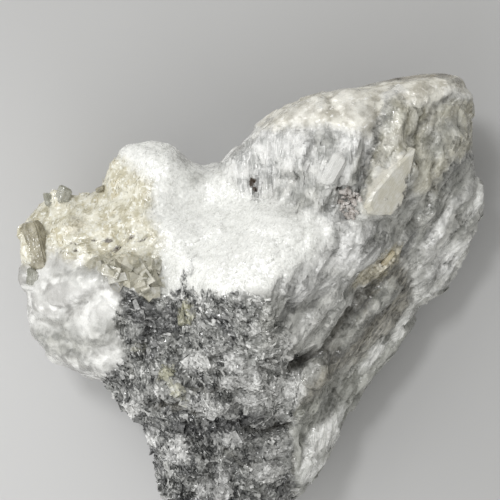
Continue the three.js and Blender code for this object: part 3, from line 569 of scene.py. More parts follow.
def upper_share(points):
    """0 on the lower walls and 1 on the upper side."""
    return np.clip((points[:, 2] - UPPER_FROM) / UPPER_OVER, 0, 1)


def within(depth, soft=0.5):
    """0 outside, 1 inside, and smooth over the border."""
    share = np.clip(depth / (2 * soft) + 0.5, 0, 1)
    return share * share * (3 - 2 * share)


def lean_at(x, y):
    heights, leans = np.array(LEANS).T
    return np.interp(y, heights, leans) + 0.02 * (x - 25)


def fan_of(points):
    """Where points lie in the layers of the flank: across them, along them, and in depth."""
    x, y, z = points.T
    steps = np.linspace(-45, 45, 361)
    swept = np.cumsum(lean_at(25, steps)) * (steps[1] - steps[0])
    across = x - np.interp(y, steps, swept) - 0.02 * (x - 25) * y - 0.35 * z
    across += 1.1 * waves(points, 9, 6) + 0.4 * waves(points, 3, 7)
    return np.column_stack([across, 1.1 * y + 0.5 * x, z])


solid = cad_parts["hydroboracite_lump"]
blank = bpy.data.objects.new("blank", solid.data.copy())
scene.collection.objects.link(blank)
remesh = blank.modifiers.new("even_faces", "REMESH")
remesh.mode = "VOXEL"
remesh.voxel_size = SKIN_SIZE / 1000
evened = blank.evaluated_get(bpy.context.evaluated_depsgraph_get())
skin = bpy.data.meshes.new_from_object(evened)
bpy.data.objects.remove(blank)
skin.materials.clear()

count = len(skin.vertices)
edges = np.zeros(len(skin.edges) * 2, np.int32)
skin.edges.foreach_get("vertices", edges)
edges = edges.reshape(-1, 2)
links = np.bincount(edges.ravel(), minlength=count)[:, None]


def neighbours_mean(values):
    """The mean of the values at the points that share an edge with each point."""
    total = np.zeros_like(values)
    for axis in range(values.shape[1]):
        total[:, axis] += np.bincount(edges[:, 0], values[edges[:, 1], axis], count)
        total[:, axis] += np.bincount(edges[:, 1], values[edges[:, 0], axis], count)
    return total / links


def read_points():
    flat = np.zeros(count * 3, np.float32)
    skin.vertices.foreach_get("co", flat)
    return flat.reshape(-1, 3).astype(float) * 1000


def write_points(points):
    skin.vertices.foreach_set("co", (points / 1000).astype(np.float32).ravel())
    skin.update()


def read_normals():
    flat = np.zeros(count * 3, np.float32)
    skin.vertices.foreach_get("normal", flat)
    return flat.reshape(-1, 3).astype(float)


def plane_through(spots):
    """The slope in X, the slope in Y and the level of the plane that fits spots best."""
    return np.linalg.lstsq(np.c_[spots[:, :2], np.ones(len(spots))], spots[:, 2], rcond=None)[0]


# Its form: smoothed, with a flat seat for the cream blade.
points = read_points()
resting = points[:, 2] < RESTING_HEIGHT
for _ in range(SMOOTHING):
    points += 0.6 * (neighbours_mean(points) - points)
tongue_share = within(ground_at(points)["tongue"])[:, None]
for _ in range(TONGUE_SMOOTHING):
    points += 0.6 * tongue_share * (neighbours_mean(points) - points)
seat_share = within(ground_at(points)["tongue"] + 0.4, 1.2) * upper_share(points)
slope_x, slope_y, level = plane_through(points[seat_share > 0.5])
points[:, 2] += seat_share * (points[:, :2] @ (slope_x, slope_y) + level - points[:, 2])
write_points(points)

# Its relief, in millimetres: every kind of ground adds its own.
ground = ground_at(points)
fan = fan_of(points)
share = {name: within(depth) for name, depth in ground.items()}
upper = upper_share(points)
hackly = np.maximum(share["hackly"], 0.7 * (1 - upper) * (waves(points, 14, 8) > 0))
flank = share["flank"] * (1 - 0.7 * share["tongue"])
calm = (1 - hackly) * (1 - flank) * (1 - share["sugar"]) * (1 - share["yellow"])

plain_share = 1 - 0.75 * np.clip(flank + share["sugar"] + share["fibre"] + share["cream"], 0, 1)
relief = plain_share * (0.35 * waves(points, 3.4, 10) + 0.15 * waves(points, 1.5, 11))
relief += hackly * (0.9 * shards_of(points, 3.4, 12) + 0.6 * shards_of(points, 1.6, 13))
relief += share["olive"] * 0.8 * shards_of(points, 2.2, 14)
relief += share["yellow"] * (0.35 * shards_of(points, 3.4, 15) + 0.12 * shards_of(points, 1.5, 16))
ribs = 1 - 2 * np.abs(waves(fan, np.array([4.2, 20, 14]), 17))
threads = 1 - 2 * np.abs(waves(fan, np.array([1.3, 9, 7]), 18))
rib_share = np.clip(0.2 + 1.4 * waves(points, 9, 27), 0.1, 1)
relief += flank * rib_share * (0.28 * ribs + 0.04 * threads)
relief += flank * 1.1 * shards_of(fan / [1, 2.6, 1.5], 4.6, 19)
relief += flank * 0.3 * shards_of(fan / [1, 1.8, 1], 2.2, 28)
relief += share["fibre"] * 0.1 * waves(points * [1, 0.25, 0.5], 1.3, 20)
relief += share["fibre"] * 0.6 * shards_of(points * [1, 0.5, 1], 3.2, 21)
relief += share["cream"] * (0.6 * shards_of(points, 4.2, 29) + 0.14 * shards_of(points, 1.9, 30))
sugary = 0.15 * waves(points, 2.6, 22) + 0.07 * waves(points * [1, 1.6, 1], 1.2, 23)
relief += share["sugar"] * sugary
relief += calm * (0.45 * shards_of(points, 5.5, 24) + 0.16 * shards_of(points, 2.6, 25))
relief *= 1 - 0.8 * share["tongue"]
relief -= 0.9 * share["pore"] + 0.4 * share["soot"] * upper
seam, lobe, pale, stain = marks_at(points)
relief += (1 - 0.15 * flank) * lobe
relief -= (0.75 - 0.2 * flank) * (1 + 0.5 * waves(points, 3, 51)) * seam
relief -= 0.3 * share["tongue"] * upper
relief += 0.3 * share["milk"] * upper
relief *= 1 - 0.85 * np.clip((points[:, 1] - RIM_FROM) / RIM_OVER, 0, 1)
points += read_normals() * relief[:, None]
points += 0.2 * (neighbours_mean(points) - points)
fine = hackly + 0.4 * share["yellow"] + 0.25 * share["sugar"]
write_points(points)
points += read_normals() * (0.16 * fine * waves(points, 0.75, 26))[:, None]
points[resting, 2] = 0
points[:, 2] = np.maximum(points[:, 2], 0)
write_points(points)

# What its finish needs to know at every point: the kinds of ground, the hollows and the marks.
level_points = points.copy()
for _ in range(HOLLOW_SMOOTHING):
    level_points += 0.7 * (neighbours_mean(level_points) - level_points)
hollow = ((level_points - points) * read_normals()).sum(axis=1)


def store(mesh, name, values):
    """Keeps a number or a vector at every point of a mesh."""
    kind, key = ("FLOAT", "value") if values.ndim == 1 else ("FLOAT_VECTOR", "vector")
    kept = mesh.attributes.new(name, kind, "POINT")
    kept.data.foreach_set(key, values.astype(np.float32).ravel())


ground.update(hollow=hollow, seam=seam, pale=pale, stain=stain)
for name, values in ground.items():
    store(skin, name, values)
store(skin, "layers", fan)

# The hackly and olive ground has flat faces, and the rest is smooth.
skin.calc_loop_triangles()
corners = np.zeros(len(skin.loop_triangles) * 3, np.int32)
skin.loop_triangles.foreach_get("vertices", corners)
corners = corners.reshape(-1, 3)
loop_starts = np.zeros(len(skin.polygons), np.int32)
skin.polygons.foreach_get("loop_start", loop_starts)
loop_points = np.zeros(len(skin.loops), np.int32)
skin.loops.foreach_get("vertex_index", loop_points)
flat_ground = hackly + share["olive"] > 0.5
skin.polygons.foreach_set("use_smooth", ~flat_ground[loop_points[loop_starts]])


def new_group(name, takes, gives):
    """A node group with named inputs and outputs: its tree, its inlets and its outlets."""
    made = bpy.data.node_groups.new(name, "ShaderNodeTree")
    for label, kind in takes.items():
        made.interface.new_socket(label, in_out="INPUT", socket_type="NodeSocket" + kind)
    for label, kind in gives.items():
        made.interface.new_socket(label, in_out="OUTPUT", socket_type="NodeSocket" + kind)
    inlets = made.nodes.new("NodeGroupInput").outputs
    return made, inlets, made.nodes.new("NodeGroupOutput")


def place_group(tree, group, plugs):
    made = tree.nodes.new("ShaderNodeGroup")
    made.node_tree = group
    plug_in(tree, made, plugs)
    return made.outputs


def vector_math(tree, operation, plugs):
    return add(tree, "VectorMath", plugs, operation=operation).outputs[0]


# Broken grains: each small cell of the ground has a facet that is tilted its own way.
takes = {"Place": "Vector", "Size": "Float", "Tilt": "Float", "Normal": "Vector"}
gives = {"Normal": "Vector", "Tone": "Float"}
grains, inlet, outlet = new_group("Broken grains", takes, gives)
plugs = {"Vector": inlet["Place"], "Scale": calc(grains, "DIVIDE", 1.0, inlet["Size"])}
cell = add(grains, "TexVoronoi", plugs).outputs["Color"]
chance = vector_math(grains, "SUBTRACT", {0: cell, 1: (0.5, 0.5, 0.5)})
tilted = vector_math(grains, "SCALE", {0: chance, "Scale": inlet["Tilt"]})
leaning = vector_math(grains, "ADD", {0: tilted, 1: inlet["Normal"]})
facing = vector_math(grains, "NORMALIZE", {0: leaning})
tone = add(grains, "SeparateXYZ", {0: cell}).outputs[0]
plug_in(grains, outlet, {"Normal": facing, "Tone": tone})

# The broken ground: its colour, its gloss and its facets. The lump has it, and so have the
# small crystals that grow on it.
takes = {"Place": "Vector", "Normal": "Vector"}
gives = {"Color": "Color", "Roughness": "Float", "Normal": "Vector"}
broken_ground, inlet, outlet = new_group("Broken ground", takes, gives)
tree, place, position_normal = broken_ground, inlet["Place"], inlet["Normal"]


def times(first, second):
    return calc(tree, "MULTIPLY", first, second)


def plus(first, second):
    return calc(tree, "ADD", first, second)


def minus(first, second):
    return calc(tree, "SUBTRACT", first, second)


def larger(first, second):
    return calc(tree, "MAXIMUM", first, second)


def ramp(value, low, high):
    return rise(tree, value, low, high)


def blend(share, first, second):
    return mix(tree, share, first, second)


def darken(colour, shade):
    """The colour times the shade."""
    made = blend(1.0, colour, shade)
    made.node.blend_type = "MULTIPLY"
    return made


def stored(name):
    return add(tree, "Attribute", attribute_name=name).outputs["Fac"]


def grain(place, size, tilt, normal):
    return place_group(tree, grains, {"Place": place, "Size": size, "Tilt": tilt, "Normal": normal})


ragged = times(minus(cloud(tree, place, 0.0008, 3, 0.55), 0.5), 2.2)
border = plus(ragged, minus(cloud(tree, place, 0.0003, 3, 0.7), 0.5))
along_layers = add(tree, "Attribute", attribute_name="layers").outputs["Vector"]


def zone(name, soft=0.35, shift=0.0, wander=1.0):
    """0 outside a kind of ground and 1 inside. Its border is that soft, in millimetres, lies
    that far outside the stored one, and wanders."""
    depth = plus(stored(name), times(border, wander))
    return ramp(depth, -soft - shift, soft - shift)


def squeeze(vector, sizes):
    return vector_math(tree, "MULTIPLY", {0: vector, 1: tuple(1 / size for size in sizes)})


def streaks(across, along, detail=3.0):
    """Streaks along the layers. Across and along are their sizes in millimetres."""
    return cloud(tree, squeeze(along_layers, (across, along, along)), 1.0, detail, 0.6, 0.4)


def crooked(vector, reach):
    """Bends the straight borders of grains a little."""
    wander = add(tree, "TexNoise", {"Vector": place, "Scale": 900, "Detail": 2}).outputs["Color"]
    moved = vector_math(tree, "SCALE", {0: wander, "Scale": reach})
    return vector_math(tree, "ADD", {0: vector, 1: moved})


wide = cloud(tree, place, 0.006, 3)
middling = cloud(tree, place, 0.0022, 3, 0.5)
small = cloud(tree, place, 0.0007, 3, 0.6)
tiny = cloud(tree, place, 0.00028, 2, 0.6)
tint = stored("tint")
grit = grain(place, 0.00045, 0.0, position_normal)
chips = grain(place, 0.0011, 0.0, position_normal)
in_flank = zone("flank", 0.9)
in_fibre = zone("fibre", 0.8)
in_tongue = zone("tongue", 0.3, wander=0.5)
in_flank = times(in_flank, minus(1.0, in_tongue))
in_sugar = zone("sugar", 0.8)
slab_tilt = plus(0.34, times(larger(zone("cream", 0.8), in_flank), 0.3))
slab_tilt = minus(slab_tilt, times(in_sugar, 0.24))

# Facets, from large to small: splits between layers, slabs, and upright needles.
splits_place = squeeze(crooked(along_layers, 0.8), (1.2, 3.4, 2))
splits = grain(splits_place, 1.0, times(in_flank, 0.9), position_normal)
slabs = grain(crooked(place, 0.0009), 0.0025, slab_tilt, splits["Normal"])
needles_place = squeeze(crooked(place, 0.0006), (0.0007, 0.003, 0.0014))
needles = grain(needles_place, 1.0, times(in_fibre, 0.7), slabs["Normal"])

# Smooth ground: pinkish white, clouded, with greyer and clearer places.
colour = blend(ramp(wide, 0.4, 0.62), (0.62, 0.62, 0.60, 1), (0.33, 0.325, 0.31, 1))
colour = blend(ramp(middling, 0.48, 0.66), colour, (0.74, 0.74, 0.72, 1))

# Layered flank: grey streaks that fan out.
long_streak = streaks(1.5, 9, 1.5)
thin_streak = streaks(0.5, 3, 1.5)
layered = blend(ramp(long_streak, 0.36, 0.62), (0.30, 0.302, 0.285, 1), (0.60, 0.60, 0.575, 1))
silky = streaks(0.2, 2.0)
threaded = ramp(middling, 0.42, 0.6)
bright_threads = times(ramp(thin_streak, 0.5, 0.66), threaded)
layered = blend(bright_threads, layered, (0.74, 0.74, 0.72, 1))
dark_threads = times(ramp(thin_streak, 0.45, 0.3), ramp(middling, 0.6, 0.42))
layered = blend(times(dark_threads, 0.8), layered, (0.22, 0.22, 0.205, 1))
layered = blend(ramp(small, 0.64, 0.78), layered, (0.76, 0.76, 0.74, 1))
layered = blend(times(ramp(splits["Tone"], 0.6, 0.95), 0.45), layered, (0.72, 0.72, 0.70, 1))
layered = blend(times(ramp(splits["Tone"], 0.4, 0.1), 0.4), layered, (0.24, 0.24, 0.225, 1))
layered = darken(layered, (0.90, 0.90, 0.89, 1))
colour = blend(zone("flank", 1.6), colour, layered)
tan = blend(ramp(thin_streak, 0.34, 0.66), (0.28, 0.262, 0.19, 1), (0.54, 0.525, 0.44, 1))
tan = blend(times(ramp(silky, 0.52, 0.68), threaded), tan, (0.76, 0.74, 0.67, 1))
tan = blend(times(ramp(splits["Tone"], 0.5, 0.1), 0.4), tan, (0.27, 0.25, 0.195, 1))
colour = blend(times(zone("tan", 1.2), 0.85), colour, tan)
low_tan = blend(ramp(thin_streak, 0.36, 0.66), (0.055, 0.05, 0.037, 1), (0.27, 0.255, 0.21, 1))
colour = blend(times(zone("low_tan", 1.2, 0.3), 0.88), colour, low_tan)
strip = blend(ramp(long_streak, 0.38, 0.62), (0.16, 0.163, 0.14, 1), (0.40, 0.405, 0.37, 1))
colour = blend(times(zone("strip", 1.2), 0.8), colour, strip)
veil = blend(ramp(streaks(1.3, 6), 0.35, 0.6), (0.25, 0.252, 0.245, 1), (0.66, 0.66, 0.65, 1))
colour = blend(times(zone("veil", 2.0), 0.8), colour, veil)

# Cream cap and tongue, upright white fibres and the sugary face.
cream = blend(ramp(middling, 0.38, 0.6), (0.42, 0.40, 0.34, 1), (0.68, 0.665, 0.60, 1))
cream = blend(ramp(small, 0.58, 0.72), cream, (0.86, 0.855, 0.83, 1))
cream = blend(times(ramp(slabs["Tone"], 0.45, 0.05), 0.35), cream, (0.40, 0.38, 0.32, 1))
colour = blend(zone("cream", 1.0), colour, cream)
tongue = blend(middling, (0.50, 0.48, 0.42, 1), (0.74, 0.725, 0.66, 1))
colour = blend(in_tongue, colour, tongue)
upright = cloud(tree, squeeze(place, (0.0003, 0.003, 0.0003)), 1.0, 3, 0.6, 0.3)
fibrous = blend(ramp(middling, 0.4, 0.62), (0.38, 0.385, 0.375, 1), (0.66, 0.66, 0.645, 1))
fibrous = blend(ramp(upright, 0.46, 0.7), fibrous, (0.76, 0.76, 0.75, 1))
colour = blend(zone("fibre", 1.2), colour, fibrous)
sugar = blend(ramp(small, 0.35, 0.62), (0.70, 0.705, 0.675, 1), (0.78, 0.785, 0.76, 1))
sugar = blend(ramp(middling, 0.36, 0.6), sugar, (0.77, 0.775, 0.75, 1))
colour = blend(zone("sugar", 1.5), colour, sugar)

# Yellow blocky ground with olive crystals.
yellow = blend(ramp(middling, 0.38, 0.6), (0.48, 0.45, 0.335, 1), (0.67, 0.65, 0.55, 1))
yellow = blend(ramp(chips["Tone"], 0.85, 0.95), yellow, (0.52, 0.48, 0.35, 1))
yellow = blend(ramp(small, 0.52, 0.66), yellow, (0.78, 0.775, 0.71, 1))
colour = blend(zone("yellow", 1.5, 0.3), colour, yellow)
olive = blend(chips["Tone"], (0.22, 0.207, 0.14, 1), (0.46, 0.435, 0.34, 1))
colour = blend(times(zone("olive", 0.5), 0.85), colour, olive)

# Hackly ground: black to white grit with brighter and darker places.
tone = plus(times(chips["Tone"], 0.24), times(middling, 0.95))
tone = plus(tone, times(small, 0.5))
tone = plus(tone, times(tint, 0.28))
x_place, y_place, _ = add(tree, "SeparateXYZ", {0: place}).outputs
tone = plus(tone, times(ramp(x_place, -0.006, 0.004), 0.3))
tone = minus(tone, times(ramp(y_place, -0.012, -0.02), 0.18))
dark = blend(ramp(tone, 0.5, 0.95), (0.04, 0.042, 0.041, 1), (0.295, 0.298, 0.286, 1))
dark = blend(ramp(tone, 0.98, 1.35), dark, (0.66, 0.66, 0.645, 1))
in_hackly = zone("hackly", 0.4)
colour = blend(in_hackly, colour, dark)
olive_spots = blend(grit["Tone"], (0.15, 0.145, 0.08, 1), (0.42, 0.41, 0.285, 1))
spot_share = times(zone("olive", 0.4), times(in_hackly, 0.8))
colour = blend(spot_share, colour, olive_spots)
colour = blend(times(zone("soot", 0.6, 0.1), 0.75), colour, (0.07, 0.071, 0.073, 1))
glassy = blend(ramp(middling, 0.4, 0.62), (0.20, 0.202, 0.185, 1), (0.42, 0.42, 0.39, 1))
colour = blend(times(zone("glassy", 1.6, 0.2), 0.85), colour, glassy)
silver = blend(ramp(thin_streak, 0.4, 0.6), (0.66, 0.665, 0.64, 1), (0.90, 0.90, 0.88, 1))
colour = blend(times(zone("silver", 1.6, 0.5), 0.9), colour, silver)
milk = blend(ramp(small, 0.4, 0.6), (0.55, 0.55, 0.54, 1), (0.84, 0.84, 0.83, 1))
colour = blend(times(zone("milk", 0.8), 0.6), colour, milk)
gold = blend(grit["Tone"], (0.27, 0.24, 0.16, 1), (0.66, 0.62, 0.50, 1))
colour = blend(times(zone("gold", 0.6), 0.85), colour, gold)
colour = blend(zone("pore", 0.12, wander=0.15), colour, (0.075, 0.055, 0.04, 1))

# Every separate crystal is a little lighter or darker than the ground it stands on.
colour = blend(times(ramp(tint, 0.0, 1.0), 0.25), colour, (0.84, 0.84, 0.82, 1))
darker = darken(colour, (0.6, 0.6, 0.59, 1))
colour = blend(times(ramp(tint, 0.0, -1.0), 0.5), colour, darker)

# Painted shade darkens the colour in the hollows. The backs of lobes are whiter, and the far
# rim is stained.
painted_hollow_shade_colour = darken(colour, (0.5, 0.5, 0.49, 1))
not_sugar = minus(1.0, times(zone("sugar", 0.5), 0.8))
not_cream = minus(1.0, times(zone("cream", 0.5), 0.6))
painted_hollow_shade = times(ramp(stored("hollow"), 0.12, 0.6), times(not_sugar, not_cream))
colour = blend(painted_hollow_shade, colour, painted_hollow_shade_colour)
colour = blend(times(stored("pale"), 0.72), colour, (0.80, 0.80, 0.785, 1))
colour = blend(times(stored("stain"), 0.8), colour, (0.20, 0.175, 0.13, 1))
# The seams are darkened: partly their own dark colour, partly painted shade in their grooves.
seam_depth = stored("seam")
seam_colour_and_shade_share = times(ramp(seam_depth, 0.35, 1.2), times(not_sugar, 0.55))
colour = blend(seam_colour_and_shade_share, colour, (0.19, 0.185, 0.165, 1))
line_share = plus(seam_depth, times(border, 0.3))
line_share = times(ramp(line_share, 0.85, 1.1), 0.4)
colour = blend(line_share, colour, (0.10, 0.095, 0.08, 1))

# Fine relief and small glinting facets, rougher on the hackly ground.
rough_ground = larger(in_hackly, times(in_flank, 0.3))
rough_ground = larger(rough_ground, times(in_sugar, 0.35))
silk = times(times(plus(thin_streak, silky), times(threaded, 0.6)), in_flank)
fine_height = plus(plus(times(small, 0.5), times(tiny, 0.35)), silk)
fine_height = plus(fine_height, times(upright, in_fibre))
plugs = {"Strength": 0.6, "Distance": 0.0002, "Height": fine_height, "Normal": needles["Normal"]}
bump = add(tree, "Bump", plugs).outputs[0]
glints = grain(place, 0.00038, plus(times(rough_ground, 0.9), 0.1), bump)
gloss = blend(ramp(glints["Tone"], 0.5, 0.7), grey(0.28), grey(0.1))
plug_in(tree, outlet, {"Color": colour, "Roughness": gloss, "Normal": glints["Normal"]})


def ground_finish(name, clouded):
    """The mineral with its broken ground. Clouded is how far light gets into it."""
    made, tree, shader, place = finish(name)
    plugs = {"Place": place, "Normal": add(tree, "NewGeometry").outputs["Normal"]}
    look = place_group(tree, broken_ground, plugs)
    plug_in(tree, shader, {"Base Color": look["Color"], "Roughness": look["Roughness"]})
    plug_in(tree, shader, {"Normal": look["Normal"], "Specular IOR Level": 0.85})
    plug_in(tree, shader, {"Subsurface Weight": clouded, "Subsurface Scale": 0.0014})
    shader.inputs["Subsurface Radius"].default_value = (1.0, 0.95, 0.88)
    return made


borate = ground_finish("massive_borate", 0.09)


def keep(piece):
    """Every piece rides on the lump's body and stands for its solid."""
    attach(piece, "root")
    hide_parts("hydroboracite_lump")


def set_piece(name, mesh, material):
    mesh.materials.append(material)
    piece = bpy.data.objects.new(name, mesh)
    scene.collection.objects.link(piece)
    keep(piece)


set_piece("broken_lump", skin, borate)

# ------------------------------------------------------------------------------------------
# The small crystals of the broken ground: grains, blades, chips, flakes, plates and blocks.
# They are the same mineral as the lump, grown into it, and stand out of the break. Each is a
# block with uneven corners that lies along the grain of its ground. Sizes are millimetres.

triangles = points[corners]
outward = np.cross(triangles[:, 1] - triangles[:, 0], triangles[:, 2] - triangles[:, 0])
areas = np.linalg.norm(outward, axis=1)
flat_normals = read_normals()[corners].mean(axis=1)
flat_normals /= np.linalg.norm(flat_normals, axis=1)[:, None]
BLOCK = np.array(list(itertools.product((-1, 1), repeat=3)), float)
BLOCK_FACES = np.array(
    [(0, 1, 3, 2), (4, 6, 7, 5), (0, 4, 5, 1), (2, 3, 7, 6), (0, 2, 6, 4), (1, 5, 7, 3)])
grain_borate = ground_finish("broken_grains", 0)


def on_faces(values):
    return values[corners].mean(axis=1)


def unit(vectors):
    return vectors / np.maximum(np.linalg.norm(vectors, axis=1), 1e-9)[:, None]


def swing(first, second, angle):
    """Turns two crossed directions together, the first towards the second."""
    return (np.cos(angle) * first + np.sin(angle) * second,
            np.cos(angle) * second - np.sin(angle) * first)


def crystals(name, weight, number, sizes, heading, spread, lean, sink, seed, fleck=1.0, uneven=0.3):
    """Lays blocks on the ground. Weight is how thickly they lie on each of its faces. Sizes are
    least and greatest length, width and thickness. Spread and lean are how far they turn and
    tip, in degrees. Sink is the share of them that is in the ground. Fleck is how much they
    differ in tone, and uneven is how far their corners are off."""
    draw = np.random.default_rng(seed)
    reach = np.cumsum(areas * weight)
    picks = np.searchsorted(reach, draw.random(number) * reach[-1])
    shares = draw.dirichlet((1, 1, 1), number)
    spots = (triangles[picks] * shares[:, :, None]).sum(axis=1)
    out = flat_normals[picks]
    turn = np.radians(heading(spots) + spread * draw.normal(size=number))
    along = np.column_stack([np.cos(turn), np.sin(turn), 0.15 * draw.normal(size=number)])
    along = unit(along - (along * out).sum(axis=1)[:, None] * out)
    pitch, roll = np.radians(lean * draw.normal(size=(2, number)))[:, :, None]
    along, out = swing(along, out, pitch)
    side, out = swing(np.cross(out, along), out, roll)
    least, greatest = np.array(sizes).T
    size = least + (greatest - least) * draw.random((number, 3)) ** 1.6
    shape = BLOCK[None] * (1 - uneven * draw.random((number, 8, 3)))
    shape = shape * size[:, None] / 2
    middle = spots + out * (size[:, 2:] * (0.5 - sink))
    place = middle[:, None] + shape[..., :1] * along[:, None] + shape[..., 1:2] * side[:, None]
    place = place + shape[..., 2:] * out[:, None]
    place[..., 2] = np.maximum(place[..., 2], 0)
    faces = (BLOCK_FACES[None] + len(BLOCK) * np.arange(number)[:, None, None]).reshape(-1, 4)
    mesh = bpy.data.meshes.new(name)
    mesh.from_pydata((place.reshape(-1, 3) / 1000).tolist(), [], faces.tolist())
    own = {label: on_faces(values)[picks] for label, values in ground.items()}
    own["tint"] = fleck * (2 * draw.random(number) - 1)
    own["hollow"] = np.zeros(number)
    for label, values in own.items():
        store(mesh, label, np.repeat(values, len(BLOCK)))
    store(mesh, "layers", fan_of(place.reshape(-1, 3)))
    set_piece(name, mesh, grain_borate)


def fan_heading(spots):
    """Along the layers of the flank."""
    return np.degrees(np.arctan2(1, lean_at(spots[:, 0], spots[:, 1])))


def any_heading(spots):
    return 40 * waves(spots, 7, 30) + 60


def upright_heading(spots):
    return 84 + 10 * waves(spots, 8, 31)


def flowing_heading(spots):
    """Slivers run down to the right on the left of the slope, and up to the right beyond it."""
    turning = np.clip((spots[:, 0] + 4) / 8, 0, 1)
    return -55 + 95 * turning + 45 * waves(spots, 7, 48)


def radiating_heading(spots):
    return 55 * waves(spots, 4, 49) + 90 * (waves(spots, 6, 50) > 0)


BLADES_UP_TO, CHIPS_UP_TO, OLIVE_UP_TO = 27, 34, 9  # the far ends of three grounds, in Y
upper_faces = 0.15 + on_faces(upper)  # few crystals grow on the lower walls
crystals("sugar_grains", on_faces(share["sugar"]) * upper_faces, 4200,
         [(0.3, 1.2), (0.12, 0.3), (0.08, 0.2)], any_heading, 38, 5, 0.6, 40, 0.7)
blade_ground = share["fibre"] * (points[:, 1] < BLADES_UP_TO)
crystals("upright_blades", on_faces(blade_ground) * upper_faces, 110,
         [(1.0, 3.4), (0.4, 1.1), (0.3, 0.6)], upright_heading, 9, 4, 0.7, 41, 0.4)
chip_ground = share["flank"] * (1 - share["tongue"]) + 0.5 * share["fibre"]
chip_ground = chip_ground * (1 - within(points[:, 1] - CHIPS_UP_TO))
crystals("cleavage_chips", on_faces(chip_ground) * upper_faces, 800,
         [(0.4, 1.8), (0.25, 0.8), (0.12, 0.3)], fan_heading, 20, 7, 0.66, 52, 0.4)
crystals("hackly_flakes", on_faces(share["hackly"]) * upper_faces, 6400,
         [(0.4, 2.2), (0.18, 0.7), (0.12, 0.36)], flowing_heading, 30, 20, 0.55, 42)
crystals("cleavage_plates", on_faces(share["hackly"]) * upper_faces, 320,
         [(1.2, 3.0), (0.8, 1.8), (0.4, 0.9)], flowing_heading, 40, 18, 0.66, 46, 1, 0.35)
yellow_ground = share["yellow"] * (1 - share["olive"])
crystals("yellow_blades", on_faces(yellow_ground) * upper_faces, 2000,
         [(0.5, 2.0), (0.12, 0.3), (0.08, 0.18)], radiating_heading, 22, 5, 0.62, 43, 0.8)
olive_ground = share["olive"] * (points[:, 1] < OLIVE_UP_TO)
crystals("olive_blocks", on_faces(olive_ground) * upper_faces, 75,
         [(1.8, 3.4), (1.3, 2.4), (1.0, 1.7)], any_heading, 60, 16, 0.66, 44, 0.8, 0.2)

# ------------------------------------------------------------------------------------------
# The single crystals.
# Clear to smoky or milky crystals of the mineral, long prisms with slanted ends. They have
# grown on the left end of the lump, above the vug and on the flank, each by its foot.

ground_tree = BVHTree.FromPolygons(points.tolist(), corners.tolist())
SKYWARD = 60  # above the lump, in millimetres
ANGLES = np.linspace(0, 2 * math.pi, 36, endpoint=False)
RINGS_ALONG = 26
STRAIGHT_PART = 0.72  # the share of a prism that doesn't taper


def ground_under(x, y):
    """The spot of the ground that lies under (x, y), and the way it faces."""
    spot, out, _, _ = ground_tree.ray_cast(Vector((x, y, SKYWARD)), Vector((0, 0, -1)))
    return spot, out


def shell_faces(ring_count, size):
    """The faces of a closed shell that is made of rings of points."""
    faces = []
    for ring in range(ring_count - 1):
        for i in range(size):
            a, b = ring * size + i, ring * size + (i + 1) % size
            faces.append((a, b, b + size, a + size))
    faces.append(tuple(reversed(range(size))))
    faces.append(tuple(range((ring_count - 1) * size, ring_count * size)))
    return faces


def set_crystal(name, rings, grown, material):
    """Rings are its points, in millimetres. Grown is where they lie across its growth lines."""
    mesh = bpy.data.meshes.new(name)
    place = np.concatenate(rings) / 1000
    mesh.from_pydata(place.tolist(), [], shell_faces(len(rings), len(rings[0])))
    store(mesh, "grown", grown)
    set_piece(name, mesh, material)


def prism(name, x, y, size, turns, lift, material, seed, tip=0.5, ribs=0.05):
    """A prism with ribs along it. Size is length, width and thickness; turns is its heading,
    the rise of its far end and its roll, in degrees. Lift is how far its middle stands out,
    and tip is how much its ends taper."""
    draw = np.random.default_rng(seed)
    length, width, thickness = size
    heading, pitch, roll = (math.radians(turn) for turn in turns)
    spot, out = ground_under(x, y)
    out = (out + Vector((0, 0, 0.4))).normalized()
    along = Vector((math.cos(heading), math.sin(heading), 0))
    along = (along - along.dot(out) * out).normalized()
    spot, out, along = np.array(spot), np.array(out), np.array(along)
    side = np.cross(out, along)
    along, out = swing(along, out, pitch)
    side, out = swing(side, out, roll)
    sixth = math.pi / 3
    hexagon = math.cos(sixth / 2) / np.cos((ANGLES % sixth) - sixth / 2)
    section = hexagon * (1 + ribs * (2 * draw.random(len(ANGLES)) - 1))
    local = []
    for step in np.linspace(-1, 1, RINGS_ALONG):
        end_share = np.clip((abs(step) - STRAIGHT_PART) / (1 - STRAIGHT_PART), 0, 1)
        wide = section * (1 - tip * end_share**1.3)
        wide = wide * (1 + 0.025 * (2 * draw.random(len(ANGLES)) - 1))
        across = 0.5 * width * wide * np.cos(ANGLES)
        up = 0.5 * thickness * wide * np.sin(ANGLES)
        slant = 0.25 * across * step + 0.2 * up
        local.append(np.column_stack([0.5 * length * step + slant, across, up]))
    rings = [spot + lift * out + ring @ np.array([along, side, out]) for ring in local]
    for ring in rings:
        ring[:, 2] = np.maximum(ring[:, 2], 0)
    set_crystal(name, rings, np.concatenate(local) * [0.12, 1, 1], material)


# Growth lines: fine lines along a crystal, and the clouds of milk that they break up.
takes = {"Place": "Vector", "Grown": "Vector"}
gives = {"Lines": "Float", "Milk": "Float"}
growth_lines, inlet, outlet = new_group("Growth lines", takes, gives)
lines = cloud(growth_lines, inlet["Grown"], 0.3, 3, 0.6)
milk = rise(growth_lines, cloud(growth_lines, inlet["Place"], 0.0018, 4, 0.6), 0.4, 0.62)
milk = calc(growth_lines, "MULTIPLY", milk, rise(growth_lines, lines, 0.1, 0.6))
plug_in(growth_lines, outlet, {"Lines": lines, "Milk": milk})


